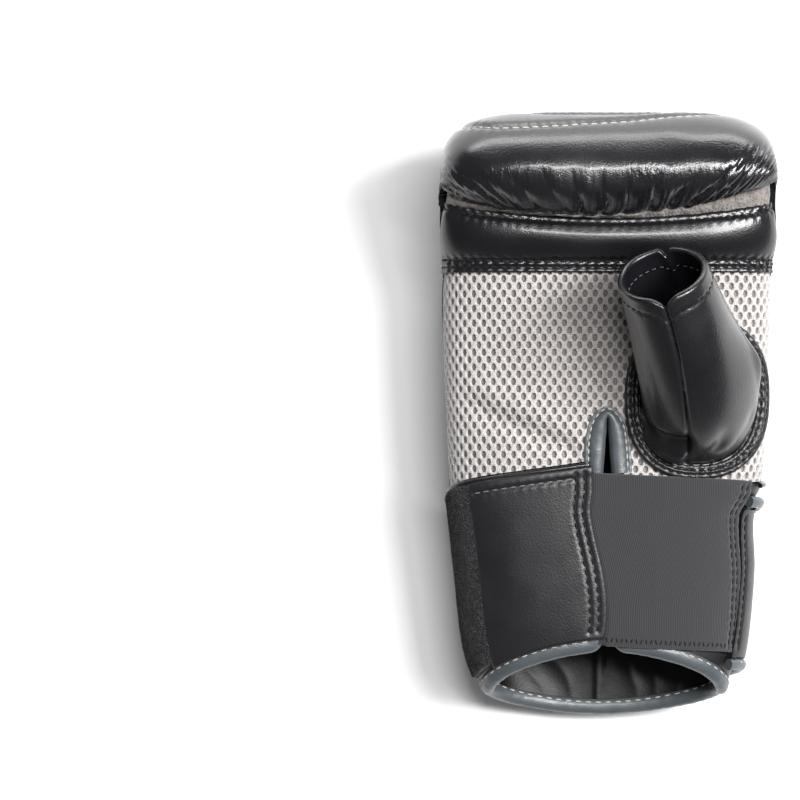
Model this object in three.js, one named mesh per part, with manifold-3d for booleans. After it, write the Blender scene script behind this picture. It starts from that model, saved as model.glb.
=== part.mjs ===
// A right-hand bag glove lying on its padded back, palm up.
// Millimetres. +X is the thumb side, +Y the finger end, +Z away from the surface that it lies on.
import * as THREE from 'three';
import { mergeVertices } from 'three/addons/utils/BufferGeometryUtils.js';
import Module from 'manifold-3d';

const wasm = await Module();
wasm.setup();

// Overall sizes
const GLOVE_LENGTH = 238;     // cuff end to finger end
const HALF_WIDTH = 65.2;      // half the width across the pad
const PALM_HEIGHT = 60;       // palm mesh above the surface
const CURL_HEIGHT = 88;       // crest of the curled finger end above the surface
const CUFF_LIFT = 8.6;        // back of the cuff above the surface, room for the strap and its patch

// Leather pad
const FOAM = 22;              // foam thickness over the back of the hand
const SIDE_FOAM = 5.5;        // pad thickness at its side seams
const SETTLE = 1.4;           // how far the pad is pressed flat where it rests
const SETTLE_HEIGHT = 20;     // height at which that has faded
const INNER_ROUND = 2.3;      // squareness of the pad's inner section
const GROOVE_DEPTH = 1.3;     // valley along each stitch line of the back
const GROOVE_SPREAD = 3.2;    // degrees of turn over which a valley fades
const GATHER_DEPTH = 1.5;     // height of the gathers at the finger end
const PAD_FLARE = 2.4;        // how far the pad stands out beyond the finger band
const END_SKEW = 1.6;         // how much further the end seam lies on the thumb side
const SEAM_GAP = 0.35;        // between pieces that are sewn together

// Sheets
const MESH = 2.6;             // spacer mesh
const CUFF_WALL = 3.2;        // leather, thin foam and lining
const LAYER_GAP = 0.4;        // between a piece and what is sewn on it
const PANEL = 2;              // leather panel of the cuff
const LOOP = 1.6;             // loop fabric
const ELASTIC = 1.8;
const STRAP = 2.6;
const PATCH = 1.6;            // rubber patch

// Finger band and lining
const BAND_GAP = 1.736;       // from the band to the pad's end seam, on the centre line
const BAND_WIDTH = 17;        // on the centre line
const BAND_FLARE = 6;         // how much wider it is at its ends
const BAND_LIFT = 1.2;        // edges of the band above the palm surface
const BAND_ROLL = 2.6;        // bulge of the band
const LINING_TURN = 76;       // how far round the lining reaches to each side, in degrees of turn
const BAND_WALL = 2.2;        // depth of the band below the palm surface

// Thumb stall
const THUMB_X = 33.4;         // middle of the stall's foot
const THUMB_Y = 8;
const FOOT_X = 22.2;          // half sizes of the foot, outside
const FOOT_Y = 25.6;
const FOOT_ROUND = 2.4;       // squareness of the foot
const STALL_LENGTH = 62.5;    // foot to rim, along the stall
const RIM_RADIUS = 16.9;
const STALL_WALL = 2;
const ELBOW = 3;              // how far the outer side is pointed
const FOOT_HEIGHT = 0.965;    // height of the stall's foot, share of PALM_HEIGHT
const THUMB_RING = 3.6;       // width of the leather ring round the foot
const RING_WALL = 1.6;
const RING_CROWN = 0.4;       // how much higher the ring is along its middle

// Slit above the wrist
const SLIT_X = -0.9;
const SLIT_TOP = 1.4;         // top of the binding's middle line
const SLIT_LENGTH = 25;
const SLIT_HALF = 5;          // middle of the slit to the middle of its binding
const SLIT_ROLL = 6.4;        // width of the binding
const SLIT_ROLL_HEIGHT = 3.8;

// Wrist
const SEAM_Y = -27;           // seam between hand and cuff, on the back
const SEAM_SLOPE = 2.5;       // rise of the seam toward the thumb side
const SEAM_STEP = 1;          // and its rise just beside the slit
const FLAP_RISE = 13.9;       // rise of the seam toward the slit, little-finger half
const MOUTH_SIDE = -103;      // cuff edge at the sides
const MOUTH_PALM = 19;        // how much shorter the cuff is at the slit
const MOUTH_BACK = 10;        // how much longer it is at the back
const CUFF_BEAD = 5.4;        // binding of the mouth
const WELT_BEAD = 2;
const WELT_START = 64;        // degrees of turn where the welt comes out from under the elastic
const FLAP_GAP = 4.5;         // degrees of turn from the centre line to each flap's edge
const ELASTIC_WIDTH = 65;
const ELASTIC_TOP = -21.4;    // upper edge at the slit
const ELASTIC_SLOPE = 3.2;    // how much lower it is at the thumb side
const FLAP_EDGE = -7.2;       // degrees of turn of the panel's edge at its top
const FLAP_SWAY = 6.6;        // and how far it swings over the slit
const FLAP_TUCK = 2;          // and how far its lower corner draws back
const ELASTIC_GAP = 1.3;      // degrees from the panel's edge to the elastic
const ELASTIC_TAPER = 5;      // degrees that its upper corner falls short
const ELASTIC_END = 58;       // degrees of turn at the thumb side
const PANEL_SIDE = -51;       // degrees of turn at the panel's outer edge
const LOOP_END = -101;        // degrees of turn at the loop strip's far edge
const STRAP_WIDTH = 58;
const STRAP_TOP = -34;        // strap's upper edge at the thumb side
const STRAP_DROP = 11;        // how much lower its free end lies
const STRAP_END = 224;        // degrees of turn at its free end
const STRAP_CORNER = 15;      // radius of the free end's corners
const STRAP_BEAD = 4;
const PATCH_TURN = 176;       // degrees of turn at the middle of the patch
const PATCH_LENGTH = 76;
const PATCH_WIDTH = 34;
const TAB_TURN = 186;         // degrees of turn at the middle of the tab
const TAB_WIDTH = 19;
const TAB_LENGTH = 8.4;
const TAB_WALL = 1;

const { sin, cos, abs, min, max, PI, sign, sqrt } = Math;
const rad = THREE.MathUtils.degToRad;
const lerp = THREE.MathUtils.lerp;

const material = (color, roughness, metalness = 0) =>
  new THREE.MeshStandardMaterial({ color, roughness, metalness, side: THREE.DoubleSide });
const leather = () => material(0x1c1b1f, 0.35);
const binding = () => material(0x5e666c, 0.55);

// A smooth curve through one column of a table, read by each row's share in `at`
function track(table, key) {
  const at = table.map((row) => row.at);
  const value = table.map((row) => row[key]);
  const last = table.length - 1;
  const slope = value.map((v, i) => {
    const a = max(i - 1, 0);
    const b = min(i + 1, last);
    return (value[b] - value[a]) / (at[b] - at[a]);
  });
  return (share) => {
    const s = min(max(share, at[0]), at[last]);
    let i = 0;
    while (i < last - 1 && s > at[i + 1]) i += 1;
    const span = at[i + 1] - at[i];
    const t = (s - at[i]) / span;
    const a = (1 + 2 * t) * (1 - t) ** 2 * value[i] + t * (1 - t) ** 2 * span * slope[i];
    const b = t * t * (3 - 2 * t) * value[i + 1] - t * t * (1 - t) * span * slope[i + 1];
    return a + b;
  };
}

// Hull of the hand and wrist, from the cuff end (0) to the pad's end seam.
// half, lean: half width and shift toward the thumb, shares of HALF_WIDTH.
// edge, high: side seam and palm, shares of PALM_HEIGHT. low: back of the cuff, share of CUFF_LIFT.
// round: squareness of the section.
const HULL = [
  { at: 0.0, half: 0.655, lean: 0.0, edge: 0.5, high: 0.85, low: 1.12, round: 2.3 },
  { at: 0.055, half: 0.73, lean: 0.0, edge: 0.51, high: 0.875, low: 1.04, round: 2.4 },
  { at: 0.122, half: 0.81, lean: -0.004, edge: 0.53, high: 0.9, low: 1.0, round: 2.5 },
  { at: 0.248, half: 0.858, lean: -0.011, edge: 0.55, high: 0.925, low: 1.0, round: 2.7 },
  { at: 0.345, half: 0.876, lean: -0.033, edge: 0.575, high: 0.94, low: 1.0, round: 2.85 },
  { at: 0.386, half: 0.928, lean: -0.002, edge: 0.59, high: 0.947, low: 1.0, round: 2.9 },
  { at: 0.5, half: 0.955, lean: 0.0, edge: 0.615, high: 0.97, low: 1.0, round: 3.1 },
  { at: 0.626, half: 0.972, lean: 0.0, edge: 0.635, high: 0.995, low: 1.0, round: 3.2 },
  { at: 0.702, half: 0.974, lean: 0.0, edge: 0.665, high: 1.02, low: 1.0, round: 3.2 },
  { at: 0.744, half: 0.966, lean: 0.0, edge: 0.72, high: 1.04, low: 1.0, round: 3.1 },
  { at: 0.782, half: 0.962, lean: 0.0, edge: 0.8, high: 1.075, low: 1.0, round: 2.9 },
  { at: 0.82, half: 0.955, lean: -0.008, edge: 0.9, high: 1.11, low: 1.0, round: 2.6 },
  { at: 0.855, half: 0.945, lean: -0.016, edge: 0.98, high: 1.14, low: 1.0, round: 2.4 },
  { at: 0.885, half: 0.93, lean: -0.02, edge: 1.045, high: 1.16, low: 1.0, round: 2.3 },
];
const hull = {};
for (const key of Object.keys(HULL[0])) hull[key] = track(HULL, key);
const shareOf = (y) => y / GLOVE_LENGTH + 0.5;
const sectionAt = (y) => {
  const at = shareOf(y);
  return {
    half: hull.half(at) * HALF_WIDTH,
    lean: hull.lean(at) * HALF_WIDTH,
    edge: hull.edge(at) * PALM_HEIGHT,
    high: hull.high(at) * PALM_HEIGHT,
    low: hull.low(at) * CUFF_LIFT,
    round: hull.round(at),
  };
};

// Superellipse: shares across and up for a turn in degrees
function bow(turn, round) {
  const s = sin(rad(turn));
  const c = cos(rad(turn));
  const k = (abs(s) ** round + abs(c) ** round) ** (-1 / round);
  return { across: s * k, up: c * k };
}

// Point of the hull at a turn (0 palm, 90 thumb side, 180 back), raised by `lift` along its normal
function onHull(turn, y) {
  const { half, lean, edge, high, low, round } = sectionAt(y);
  const { across, up } = bow(turn, round);
  const height = up > 0 ? high - edge : edge - low;
  return new THREE.Vector3(lean + half * across, y, edge + height * up);
}
function hullNormal(turn, y) {
  const across = onHull(turn + 1, y).sub(onHull(turn - 1, y));
  const along = onHull(turn, y + 1).sub(onHull(turn, y - 1));
  const normal = across.cross(along).normalize();
  const out = new THREE.Vector3(sin(rad(turn)), 0, cos(rad(turn)));
  return normal.dot(out) < 0 ? normal.negate() : normal;
}
const hullPoint = (turn, y, lift = 0) => onHull(turn, y).addScaledVector(hullNormal(turn, y), lift);

// Turn at which the hull's palm side has a given x
function turnAt(x, y) {
  const { half, lean, round } = sectionAt(y);
  const q = min(abs(x - lean) / half, 0.999);
  const up = (1 - q ** round) ** (1 / round);
  return sign(x - lean) * THREE.MathUtils.radToDeg(Math.atan2(q, up));
}

// Solids from triangles
function solid(triangles) {
  let volume = 0;
  for (const [a, b, c] of triangles) volume += a.dot(b.clone().cross(c));
  const points = triangles.flatMap(([a, b, c]) => (volume < 0 ? [a, c, b] : [a, b, c]));
  const loose = new THREE.BufferGeometry().setFromPoints(points);
  const shape = mergeVertices(loose, 1e-4);
  shape.computeVertexNormals();
  return shape;
}
function zip(a, b) {
  const faces = [];
  let i = 0;
  let j = 0;
  while (i < a.length - 1 || j < b.length - 1) {
    const stepA = (i + 1) / (a.length - 1);
    const stepB = (j + 1) / (b.length - 1);
    if (j === b.length - 1 || (i < a.length - 1 && stepA <= stepB)) {
      faces.push([a[i], a[i + 1], b[j]]);
      i += 1;
    } else {
      faces.push([a[i], b[j + 1], b[j]]);
      j += 1;
    }
  }
  return faces;
}
const strips = (grid) => grid.slice(1).flatMap((row, i) => zip(grid[i], row));
const flipped = (faces) => faces.map(([a, b, c]) => [a, c, b]);
const column = (grid, j) => grid.map((row) => row.at(j));

// Closed wall between an outer and an inner grid of points
function wall(outer, inner) {
  return solid([
    ...strips(outer),
    ...flipped(strips(inner)),
    ...flipped(zip(outer[0], inner[0])),
    ...zip(outer.at(-1), inner.at(-1)),
    ...zip(column(outer, 0), column(inner, 0)),
    ...flipped(zip(column(outer, -1), column(inner, -1))),
  ]);
}

// Closed ring of loops: each loop joins the next, and the last one the first
function ring(loops) {
  const closed = loops.map((loop) => [...loop, loop[0]]);
  return solid([...closed, closed[0]].slice(1).flatMap((loop, i) => zip(closed[i], loop)));
}

// Bead with rounded section along a path of { point, normal }
function bead(path, width, height, sides = 6) {
  const loops = path.map(({ point, normal }, i) => {
    const ahead = path[min(i + 1, path.length - 1)].point;
    const behind = path[max(i - 1, 0)].point;
    const run = ahead.clone().sub(behind).normalize();
    const across = run.clone().cross(normal).normalize();
    const up = across.clone().cross(run).normalize();
    return Array.from({ length: sides }, (_, k) => {
      const a = (k / sides) * 2 * PI;
      const side = across.clone().multiplyScalar((cos(a) * width) / 2);
      return point.clone().add(side).addScaledVector(up, (sin(a) * height) / 2);
    });
  });
  const closed = loops.map((loop) => [...loop, loop[0]]);
  const cap = (loop) => loop.slice(1, -1).map((p, k) => [loop[0], p, loop[k + 2]]);
  return solid([...strips(closed), ...flipped(cap(loops[0])), ...cap(loops.at(-1))]);
}

// Sheet on the hull: `place(u, v)` gives the turn and y of each point
const spread = (count, from = 0, to = 1) =>
  Array.from({ length: count + 1 }, (_, i) => lerp(from, to, i / count));
function sheet(columns, rows, place, innerLift, outerLift) {
  const grid = (lift) =>
    spread(rows).map((v) =>
      spread(columns).map((u) => {
        const { turn, y } = place(u, v);
        return hullPoint(turn, y, typeof lift === 'function' ? lift(u, v) : lift);
      }),
    );
  return wall(grid(outerLift), grid(innerLift));
}

// Cuts with another closed shape
function manifoldOf(geometry) {
  const bare = geometry.clone();
  for (const name of ['normal', 'uv']) bare.deleteAttribute(name);
  const merged = mergeVertices(bare, 1e-4);
  const vertProperties = new Float32Array(merged.attributes.position.array);
  const triVerts = new Uint32Array(merged.index.array);
  return new wasm.Manifold(new wasm.Mesh({ numProp: 3, vertProperties, triVerts }));
}
function cut(geometry, cutters) {
  const body = cutters.reduce((rest, cutter) => rest.subtract(manifoldOf(cutter)), manifoldOf(geometry));
  const { vertProperties, triVerts } = body.getMesh();
  const shape = new THREE.BufferGeometry();
  shape.setAttribute('position', new THREE.BufferAttribute(new Float32Array(vertProperties), 3));
  shape.setIndex(new THREE.BufferAttribute(new Uint32Array(triVerts), 1));
  shape.computeVertexNormals();
  return shape;
}
// Prism of an outline in x and y, tall enough to pass right through the palm mesh
function prism(outline) {
  const height = PALM_HEIGHT;
  const shape = new THREE.Shape(outline.map(([x, y]) => new THREE.Vector2(x, y)));
  const geometry = new THREE.ExtrudeGeometry(shape, { depth: height, bevelEnabled: false });
  return geometry.translate(0, 0, height / 2);
}

// Pad ribs, from the wrist to the end seam. Each rib runs from one side seam under the hand to the other.
// back, side: its lowest middle point and its ends, shares of HAND_LENGTH from the wrist seam.
// rise: height of that point, share of CURL_HEIGHT. foamY, foamZ: inner face, shares of FOAM.
// gather, flare: shares of GATHER_DEPTH and PAD_FLARE. round: squareness.
const HAND_LENGTH = GLOVE_LENGTH / 2 - SEAM_Y;
const RIBS = [
  { back: 0.0, rise: 0.085, side: 0.0, round: 2.8, foamY: 0.0, foamZ: 0.2, gather: 0, flare: 0 },
  { back: 0.027, rise: 0.02, side: 0.041, round: 3.0, foamY: 0.0, foamZ: 0.56, gather: 0, flare: 0 },
  { back: 0.116, rise: 0.0, side: 0.13, round: 3.3, foamY: 0.0, foamZ: 0.8, gather: 0, flare: 0 },
  { back: 0.39, rise: 0.0, side: 0.377, round: 3.5, foamY: 0.0, foamZ: 1.0, gather: 0, flare: 0 },
  { back: 0.61, rise: 0.0, side: 0.514, round: 3.6, foamY: -0.05, foamZ: 1.04, gather: 0, flare: 0.2 },
  { back: 0.76, rise: 0.028, side: 0.5685, round: 3.8, foamY: -0.25, foamZ: 1.07, gather: 0, flare: 0.35 },
  { back: 0.888, rise: 0.125, side: 0.6096, round: 4.2, foamY: -0.63, foamZ: 0.95, gather: 0, flare: 0.5 },
  { back: 0.962, rise: 0.295, side: 0.65, round: 4.7, foamY: -0.89, foamZ: 0.64, gather: 0, flare: 0.7 },
  { back: 0.99, rise: 0.523, side: 0.69, round: 5.0, foamY: -0.97, foamZ: 0.14, gather: 0.1, flare: 0.9 },
  { back: 0.975, rise: 0.739, side: 0.728, round: 4.6, foamY: -0.89, foamZ: -0.36, gather: 0.15, flare: 1 },
  { back: 0.921, rise: 0.909, side: 0.757, round: 4.0, foamY: -0.61, foamZ: -0.82, gather: 0.2, flare: 1.1 },
  { back: 0.842, rise: 0.994, side: 0.78, round: 3.4, foamY: -0.23, foamZ: -1.02, gather: 0.45, flare: 1.1 },
  { back: 0.774, rise: 0.977, side: 0.797, round: 2.9, foamY: 0.07, foamZ: -0.9, gather: 1, flare: 1 },
  { back: 0.729, rise: 0.898, side: 0.806, round: 2.4, foamY: 0.2, foamZ: -0.55, gather: 0.8, flare: 0.8 },
  { back: 0.716, rise: 0.807, side: 0.81, round: 2.1, foamY: 0.16, foamZ: -0.18, gather: 0, flare: 0.5 },
].map((row, i, all) => ({ at: i / (all.length - 1), ...row }));
// Lower edge of the finger band, which follows the end seam
const BAND_START = SEAM_Y + RIBS.at(-1).back * HAND_LENGTH - BAND_GAP - BAND_WIDTH;
const rib = {};
for (const key of Object.keys(RIBS[0])) rib[key] = track(RIBS, key);

// Stitch lines of the back: their places as turns along a rib, from the little-finger side
const STITCH_TURNS = [-52.6, -31.8, 25.1, 42.3];

function padPoint(turn, at, inner) {
  const { across, up } = bow(turn, inner ? INNER_ROUND : rib.round(at));
  const slant = (seamY(180 - turn) - SEAM_Y) * max(0, 1 - at * 5);
  const start = SEAM_Y + SEAM_GAP + slant + END_SKEW * across * max(0, 2 * at - 1);
  const side = start + rib.side(at) * HAND_LENGTH;
  const { half, lean, edge } = sectionAt(side);
  const width = inner ? half - SIDE_FOAM : half + rib.flare(at) * PAD_FLARE;
  const backY = start + rib.back(at) * HAND_LENGTH + (inner ? rib.foamY(at) * FOAM : 0);
  const backZ = rib.rise(at) * CURL_HEIGHT + (inner ? rib.foamZ(at) * FOAM : 0);
  return new THREE.Vector3(lean + width * across, lerp(side, backY, up), lerp(edge, backZ, up));
}
function padNormal(turn, at) {
  const d = 0.01;
  const across = padPoint(turn + 1, at).sub(padPoint(turn - 1, at));
  const along = padPoint(turn, min(at + d, 1)).sub(padPoint(turn, max(at - d, 0)));
  return across.cross(along).normalize();
}
function padOuter(turn, at, fold) {
  const point = padPoint(turn, at);
  const valley = STITCH_TURNS.reduce((sum, t) => sum + Math.exp(-(((turn - t) / GROOVE_SPREAD) ** 2)), 0);
  const fade = min(1, at * 8, (1 - at) * 4);
  const relief = GATHER_DEPTH * rib.gather(at) * fold * cos(rad(turn)) ** 1.2 - GROOVE_DEPTH * valley * fade;
  point.addScaledVector(padNormal(turn, at), relief);
  const pressed = max(0, 1 - point.z / SETTLE_HEIGHT) * SETTLE;
  point.z = max(0, point.z - pressed);
  return point;
}

// Columns along a rib: closer together round its corners, with one on each stitch line
function ribTurns() {
  const stops = [-90, -60, ...STITCH_TURNS, 60, 90];
  const turns = [-90];
  for (let i = 1; i < stops.length; i += 1) {
    const middle = abs(stops[i] + stops[i - 1]) / 2;
    const steps = Math.round((stops[i] - stops[i - 1]) / (middle > 28 && middle < 57 ? 3 : 5.6));
    turns.push(...spread(steps, stops[i - 1], stops[i]).slice(1));
  }
  return turns;
}
const OUTER_TURNS = ribTurns();
const INNER_TURNS = spread(20, -90, 90);

function backPad() {
  const fold = (k) => (k % 2 ? 1 : -1);
  const outer = spread(34).map((at) => OUTER_TURNS.map((turn, k) => padOuter(turn, at, fold(k))));
  const inner = spread(17).map((at) => INNER_TURNS.map((turn) => padPoint(turn, at, true)));
  return wall(outer, inner);
}

// Seam between hand and cuff, and the cuff's edge, as y for a turn
function seamY(turn) {
  if (turn >= -90 && turn < 0) return SEAM_Y - SEAM_SLOPE + FLAP_RISE * (1 + turn / 90);
  if (turn >= 0 && turn <= 90) return SEAM_Y + lerp(SEAM_STEP, SEAM_SLOPE, turn / 90);
  return SEAM_Y + SEAM_SLOPE * sin(rad(turn));
}
function mouthY(turn) {
  const c = cos(rad(turn));
  return MOUTH_SIDE + (c > 0 ? MOUTH_PALM * c ** 2 : -MOUTH_BACK * abs(c) ** 1.5);
}

// Slit: its binding's middle line, shares of SLIT_HALF across and of SLIT_LENGTH down
const SLIT_LINE = [
  { across: -1.12, down: 0.63 },
  { across: -1.1, down: 0.4 },
  { across: -0.8, down: 0.14 },
  { across: 0, down: 0 },
  { across: 0.8, down: 0.15 },
  { across: 1.1, down: 0.42 },
  { across: 1.2, down: 0.7 },
  { across: 1.25, down: 0.88 },
];
const slitCurve = new THREE.CatmullRomCurve3(
  SLIT_LINE.map(({ across, down }) =>
    new THREE.Vector3(SLIT_X + across * SLIT_HALF, SLIT_TOP - down * SLIT_LENGTH, 0)),
  false,
  'centripetal',
);
function slitOutline(grow, steps) {
  return spread(steps).map((t) => {
    const p = slitCurve.getPoint(t);
    const run = slitCurve.getTangent(t);
    return [p.x - run.y * grow, p.y + run.x * grow];
  });
}

function palmMesh() {
  const body = sheet(
    28,
    9,
    (u, v) => {
      const turn = lerp(-90, 90, u);
      return { turn, y: lerp(seamY(turn) + SEAM_GAP, BAND_START - SEAM_GAP, v) };
    },
    -MESH,
    0,
  );
  body.translate(0, 0, SEAM_GAP);
  const hole = Array.from({ length: 28 }, (_, k) => footPlace((k * 360) / 28, -STALL_WALL - 1));
  const grown = slitOutline(SLIT_ROLL / 2 + 2 * SEAM_GAP, 18);
  const below = SEAM_Y - SLIT_LENGTH;
  const slot = [[grown[0][0], below], ...grown, [grown.at(-1)[0], below]];
  return cut(body, [prism(hole), prism(slot)]);
}

function slitBinding() {
  const path = slitCurve.getPoints(22).map((p) => {
    const turn = turnAt(p.x, p.y);
    return { point: hullPoint(turn, p.y, -LAYER_GAP), normal: hullNormal(turn, p.y) };
  });
  return bead(path, SLIT_ROLL, SLIT_ROLL_HEIGHT, 8);
}

// Finger band, and the lining between it and the pad's end seam
const bandTop = (turn) => BAND_START + BAND_WIDTH + BAND_FLARE * sin(rad(turn)) ** 2;
function fingerBand() {
  const roll = (u, v) => (BAND_LIFT + BAND_ROLL * sin(PI * v)) * sin(PI * u) ** 0.7;
  const place = (u, v) => {
    const turn = lerp(-90, 90, u);
    return { turn, y: lerp(BAND_START, bandTop(turn), v) };
  };
  return sheet(24, 5, place, -BAND_WALL, roll).translate(0, 0, 2 * SEAM_GAP);
}
function fingerLining() {
  const rise = new THREE.Vector3(0, 0, 2 * SEAM_GAP);
  const span = (turns, lift, inner) => {
    const start = turns.map((turn) => hullPoint(turn, bandTop(turn) + SEAM_GAP, lift).add(rise));
    const end = turns.map((turn, k) => {
      const far = padPoint(turn, 1, inner).add(rise);
      const back = start[k].clone().sub(far).normalize();
      return far.addScaledVector(back, 3 * SEAM_GAP);
    });
    return [start, start.map((p, k) => p.clone().lerp(end[k], 0.5)), end];
  };
  const between = (turns) => {
    const inside = turns.filter((turn) => abs(turn) < LINING_TURN - 2);
    return [-LINING_TURN, ...inside, LINING_TURN];
  };
  const outer = span(between(OUTER_TURNS), LAYER_GAP, false);
  return wall(outer, span(between(INNER_TURNS), -BAND_WALL, true));
}

// Thumb stall: rings from the foot on the palm to the open rim.
// x, y, z: middle, shares of the run from foot to rim. ru, rv: half sizes, shares between foot and rim.
// tilt: degrees the ring has turned toward the fingers. yaw: degrees it has turned toward the palm.
const STALL_RUN = new THREE.Vector3(-0.28, 0.715, 0.64);
const STALL = [
  { at: 0.0, x: 0.0, y: 0.0, z: 0.03, blend: 0, tilt: 0, yaw: 0, elbow: 0 },
  { at: 0.15, x: 0.0, y: 0.0, z: 0.16, blend: 0.08, tilt: 2, yaw: 1, elbow: 0.3 },
  { at: 0.4, x: 0.26, y: 0.28, z: 0.44, blend: 0.3, tilt: 28, yaw: 8, elbow: 1 },
  { at: 0.7, x: 0.62, y: 0.64, z: 0.76, blend: 0.72, tilt: 45, yaw: 14, elbow: 0.35 },
  { at: 1.0, x: 1.0, y: 1.0, z: 1.0, blend: 1, tilt: 54, yaw: 18, elbow: 0 },
];
const stall = {};
for (const key of ['x', 'y', 'z', 'blend', 'tilt', 'yaw', 'elbow']) stall[key] = track(STALL, key);

// Outline of the stall's foot, grown by some millimetres, at an angle from the thumb side
function footPlace(angle, grow) {
  const { across, up } = bow(90 - angle, FOOT_ROUND);
  return [THUMB_X + (FOOT_X + grow) * across, THUMB_Y + (FOOT_Y + grow) * up];
}
function stallPoint(angle, at, inset) {
  const a = rad(angle);
  const [footX, footY] = footPlace(angle, -inset);
  const foot = hullPoint(turnAt(footX, footY), footY, LAYER_GAP + 2 * SEAM_GAP);
  const run = STALL_RUN.clone().multiplyScalar(STALL_LENGTH);
  const middle = new THREE.Vector3(THUMB_X, THUMB_Y, PALM_HEIGHT * FOOT_HEIGHT);
  middle.add(new THREE.Vector3(run.x * stall.x(at), run.y * stall.y(at), run.z * stall.z(at)));
  const bump = ELBOW * stall.elbow(at) * max(0, cos(a)) ** 6;
  const ru = lerp(FOOT_X, RIM_RADIUS, stall.blend(at)) - inset + bump;
  const rv = lerp(FOOT_Y, RIM_RADIUS, stall.blend(at)) - inset;
  const tilt = rad(stall.tilt(at));
  const yaw = rad(stall.yaw(at));
  const right = new THREE.Vector3(cos(yaw), sin(yaw), 0);
  const ahead = new THREE.Vector3(-sin(yaw) * cos(tilt), cos(yaw) * cos(tilt), -sin(tilt));
  const free = middle.addScaledVector(right, ru * cos(a)).addScaledVector(ahead, rv * sin(a));
  const grow = min(1, at / 0.2);
  return foot.lerp(free, grow * grow * (3 - 2 * grow));
}
function thumbStall() {
  const loops = (ats, inset) =>
    ats.map((at) => Array.from({ length: 22 }, (_, k) => stallPoint((k * 360) / 22, at, inset)));
  const ats = [0, 0.08, 0.16, 0.26, 0.38, 0.5, 0.64, 0.82, 1];
  return ring([...loops(ats, 0), ...loops([...ats].reverse(), STALL_WALL)]);
}
function thumbPatch() {
  const loop = (grow, lift) =>
    Array.from({ length: 30 }, (_, k) => {
      const [x, y] = footPlace(k * 12, grow);
      return hullPoint(turnAt(x, y), y, lift + SEAM_GAP);
    });
  const near = 3 * SEAM_GAP;
  const far = near + THUMB_RING;
  const top = LAYER_GAP + RING_WALL;
  const crown = loop((near + far) / 2, top + RING_CROWN);
  return ring([loop(near, LAYER_GAP), loop(near, top), crown, loop(far, top), loop(far, LAYER_GAP)]);
}

// Wrist
function cuff() {
  const back = spread(18, 90, 270);
  const sides = [...spread(8, FLAP_GAP, 90), ...back.slice(1), ...spread(8, 270, 360 - FLAP_GAP).slice(1)];
  const place = (u, v) => {
    const turn = sides[Math.round(u * (sides.length - 1))];
    const seam = seamY(turn > 270 ? turn - 360 : turn) - SEAM_GAP;
    return { turn, y: lerp(seam, mouthY(turn), v) };
  };
  return sheet(sides.length - 1, 6, place, -CUFF_WALL, 0);
}
function cuffBinding() {
  const path = spread(38, FLAP_GAP, 360 - FLAP_GAP).map((turn) => {
    const y = mouthY(turn) - CUFF_BEAD / 2 - 2 * LAYER_GAP;
    return { point: hullPoint(turn, y, -CUFF_WALL / 2), normal: hullNormal(turn, y) };
  });
  return bead(path, CUFF_BEAD, CUFF_BEAD);
}
function wristWelt() {
  const path = spread(34, WELT_START, 360 - FLAP_GAP).map((turn) => {
    const y = seamY(turn > 270 ? turn - 360 : turn) - WELT_BEAD / 2;
    return { point: hullPoint(turn, y, WELT_BEAD / 2 + LAYER_GAP), normal: hullNormal(turn, y) };
  });
  return bead(path, WELT_BEAD, WELT_BEAD);
}
// Line where the elastic comes out from under the panel, as a turn for a share of the way down
const flapEdge = (v) => FLAP_EDGE + FLAP_SWAY * sin((PI / 2) * v) ** 2 - FLAP_TUCK * v ** 8;
const flapTop = (turn) => seamY(turn) - WELT_BEAD - 1.5 * LAYER_GAP;
function cuffPanel() {
  const place = (u, v) => {
    const turn = lerp(PANEL_SIDE, flapEdge(v), u);
    return { turn, y: lerp(flapTop(turn), mouthY(turn), v) };
  };
  return sheet(8, 6, place, LAYER_GAP, LAYER_GAP + PANEL);
}
function loopStrip() {
  const place = (u, v) => {
    const turn = lerp(LOOP_END, PANEL_SIDE - 1, u);
    return { turn, y: lerp(flapTop(turn), mouthY(turn) + WELT_BEAD, v) };
  };
  return sheet(7, 7, place, LAYER_GAP, LAYER_GAP + LOOP);
}
function elasticBand() {
  const place = (u, v) => {
    const turn = lerp(flapEdge(v) + ELASTIC_GAP, ELASTIC_END - ELASTIC_TAPER * (1 - v), u);
    return { turn, y: ELASTIC_TOP - ELASTIC_SLOPE * u - ELASTIC_WIDTH * v };
  };
  const lift = SEAM_GAP + 2 * LAYER_GAP;
  return sheet(12, 6, place, lift, lift + ELASTIC);
}

// Strap, from the elastic round the thumb side to the free end under the back
const STRAP_LIFT = 2 * LAYER_GAP;
const strapMiddle = (turn) => {
  const share = (turn - ELASTIC_END) / (STRAP_END - ELASTIC_END);
  const eased = min(1, share * 1.4);
  return STRAP_TOP - STRAP_WIDTH / 2 - STRAP_DROP * eased * eased * (3 - 2 * eased);
};
const perDegree = (turn, y) => hullPoint(turn + 0.5, y).distanceTo(hullPoint(turn - 0.5, y));
const CORNER_TURN = STRAP_CORNER / perDegree(STRAP_END - 6, strapMiddle(STRAP_END));
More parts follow.
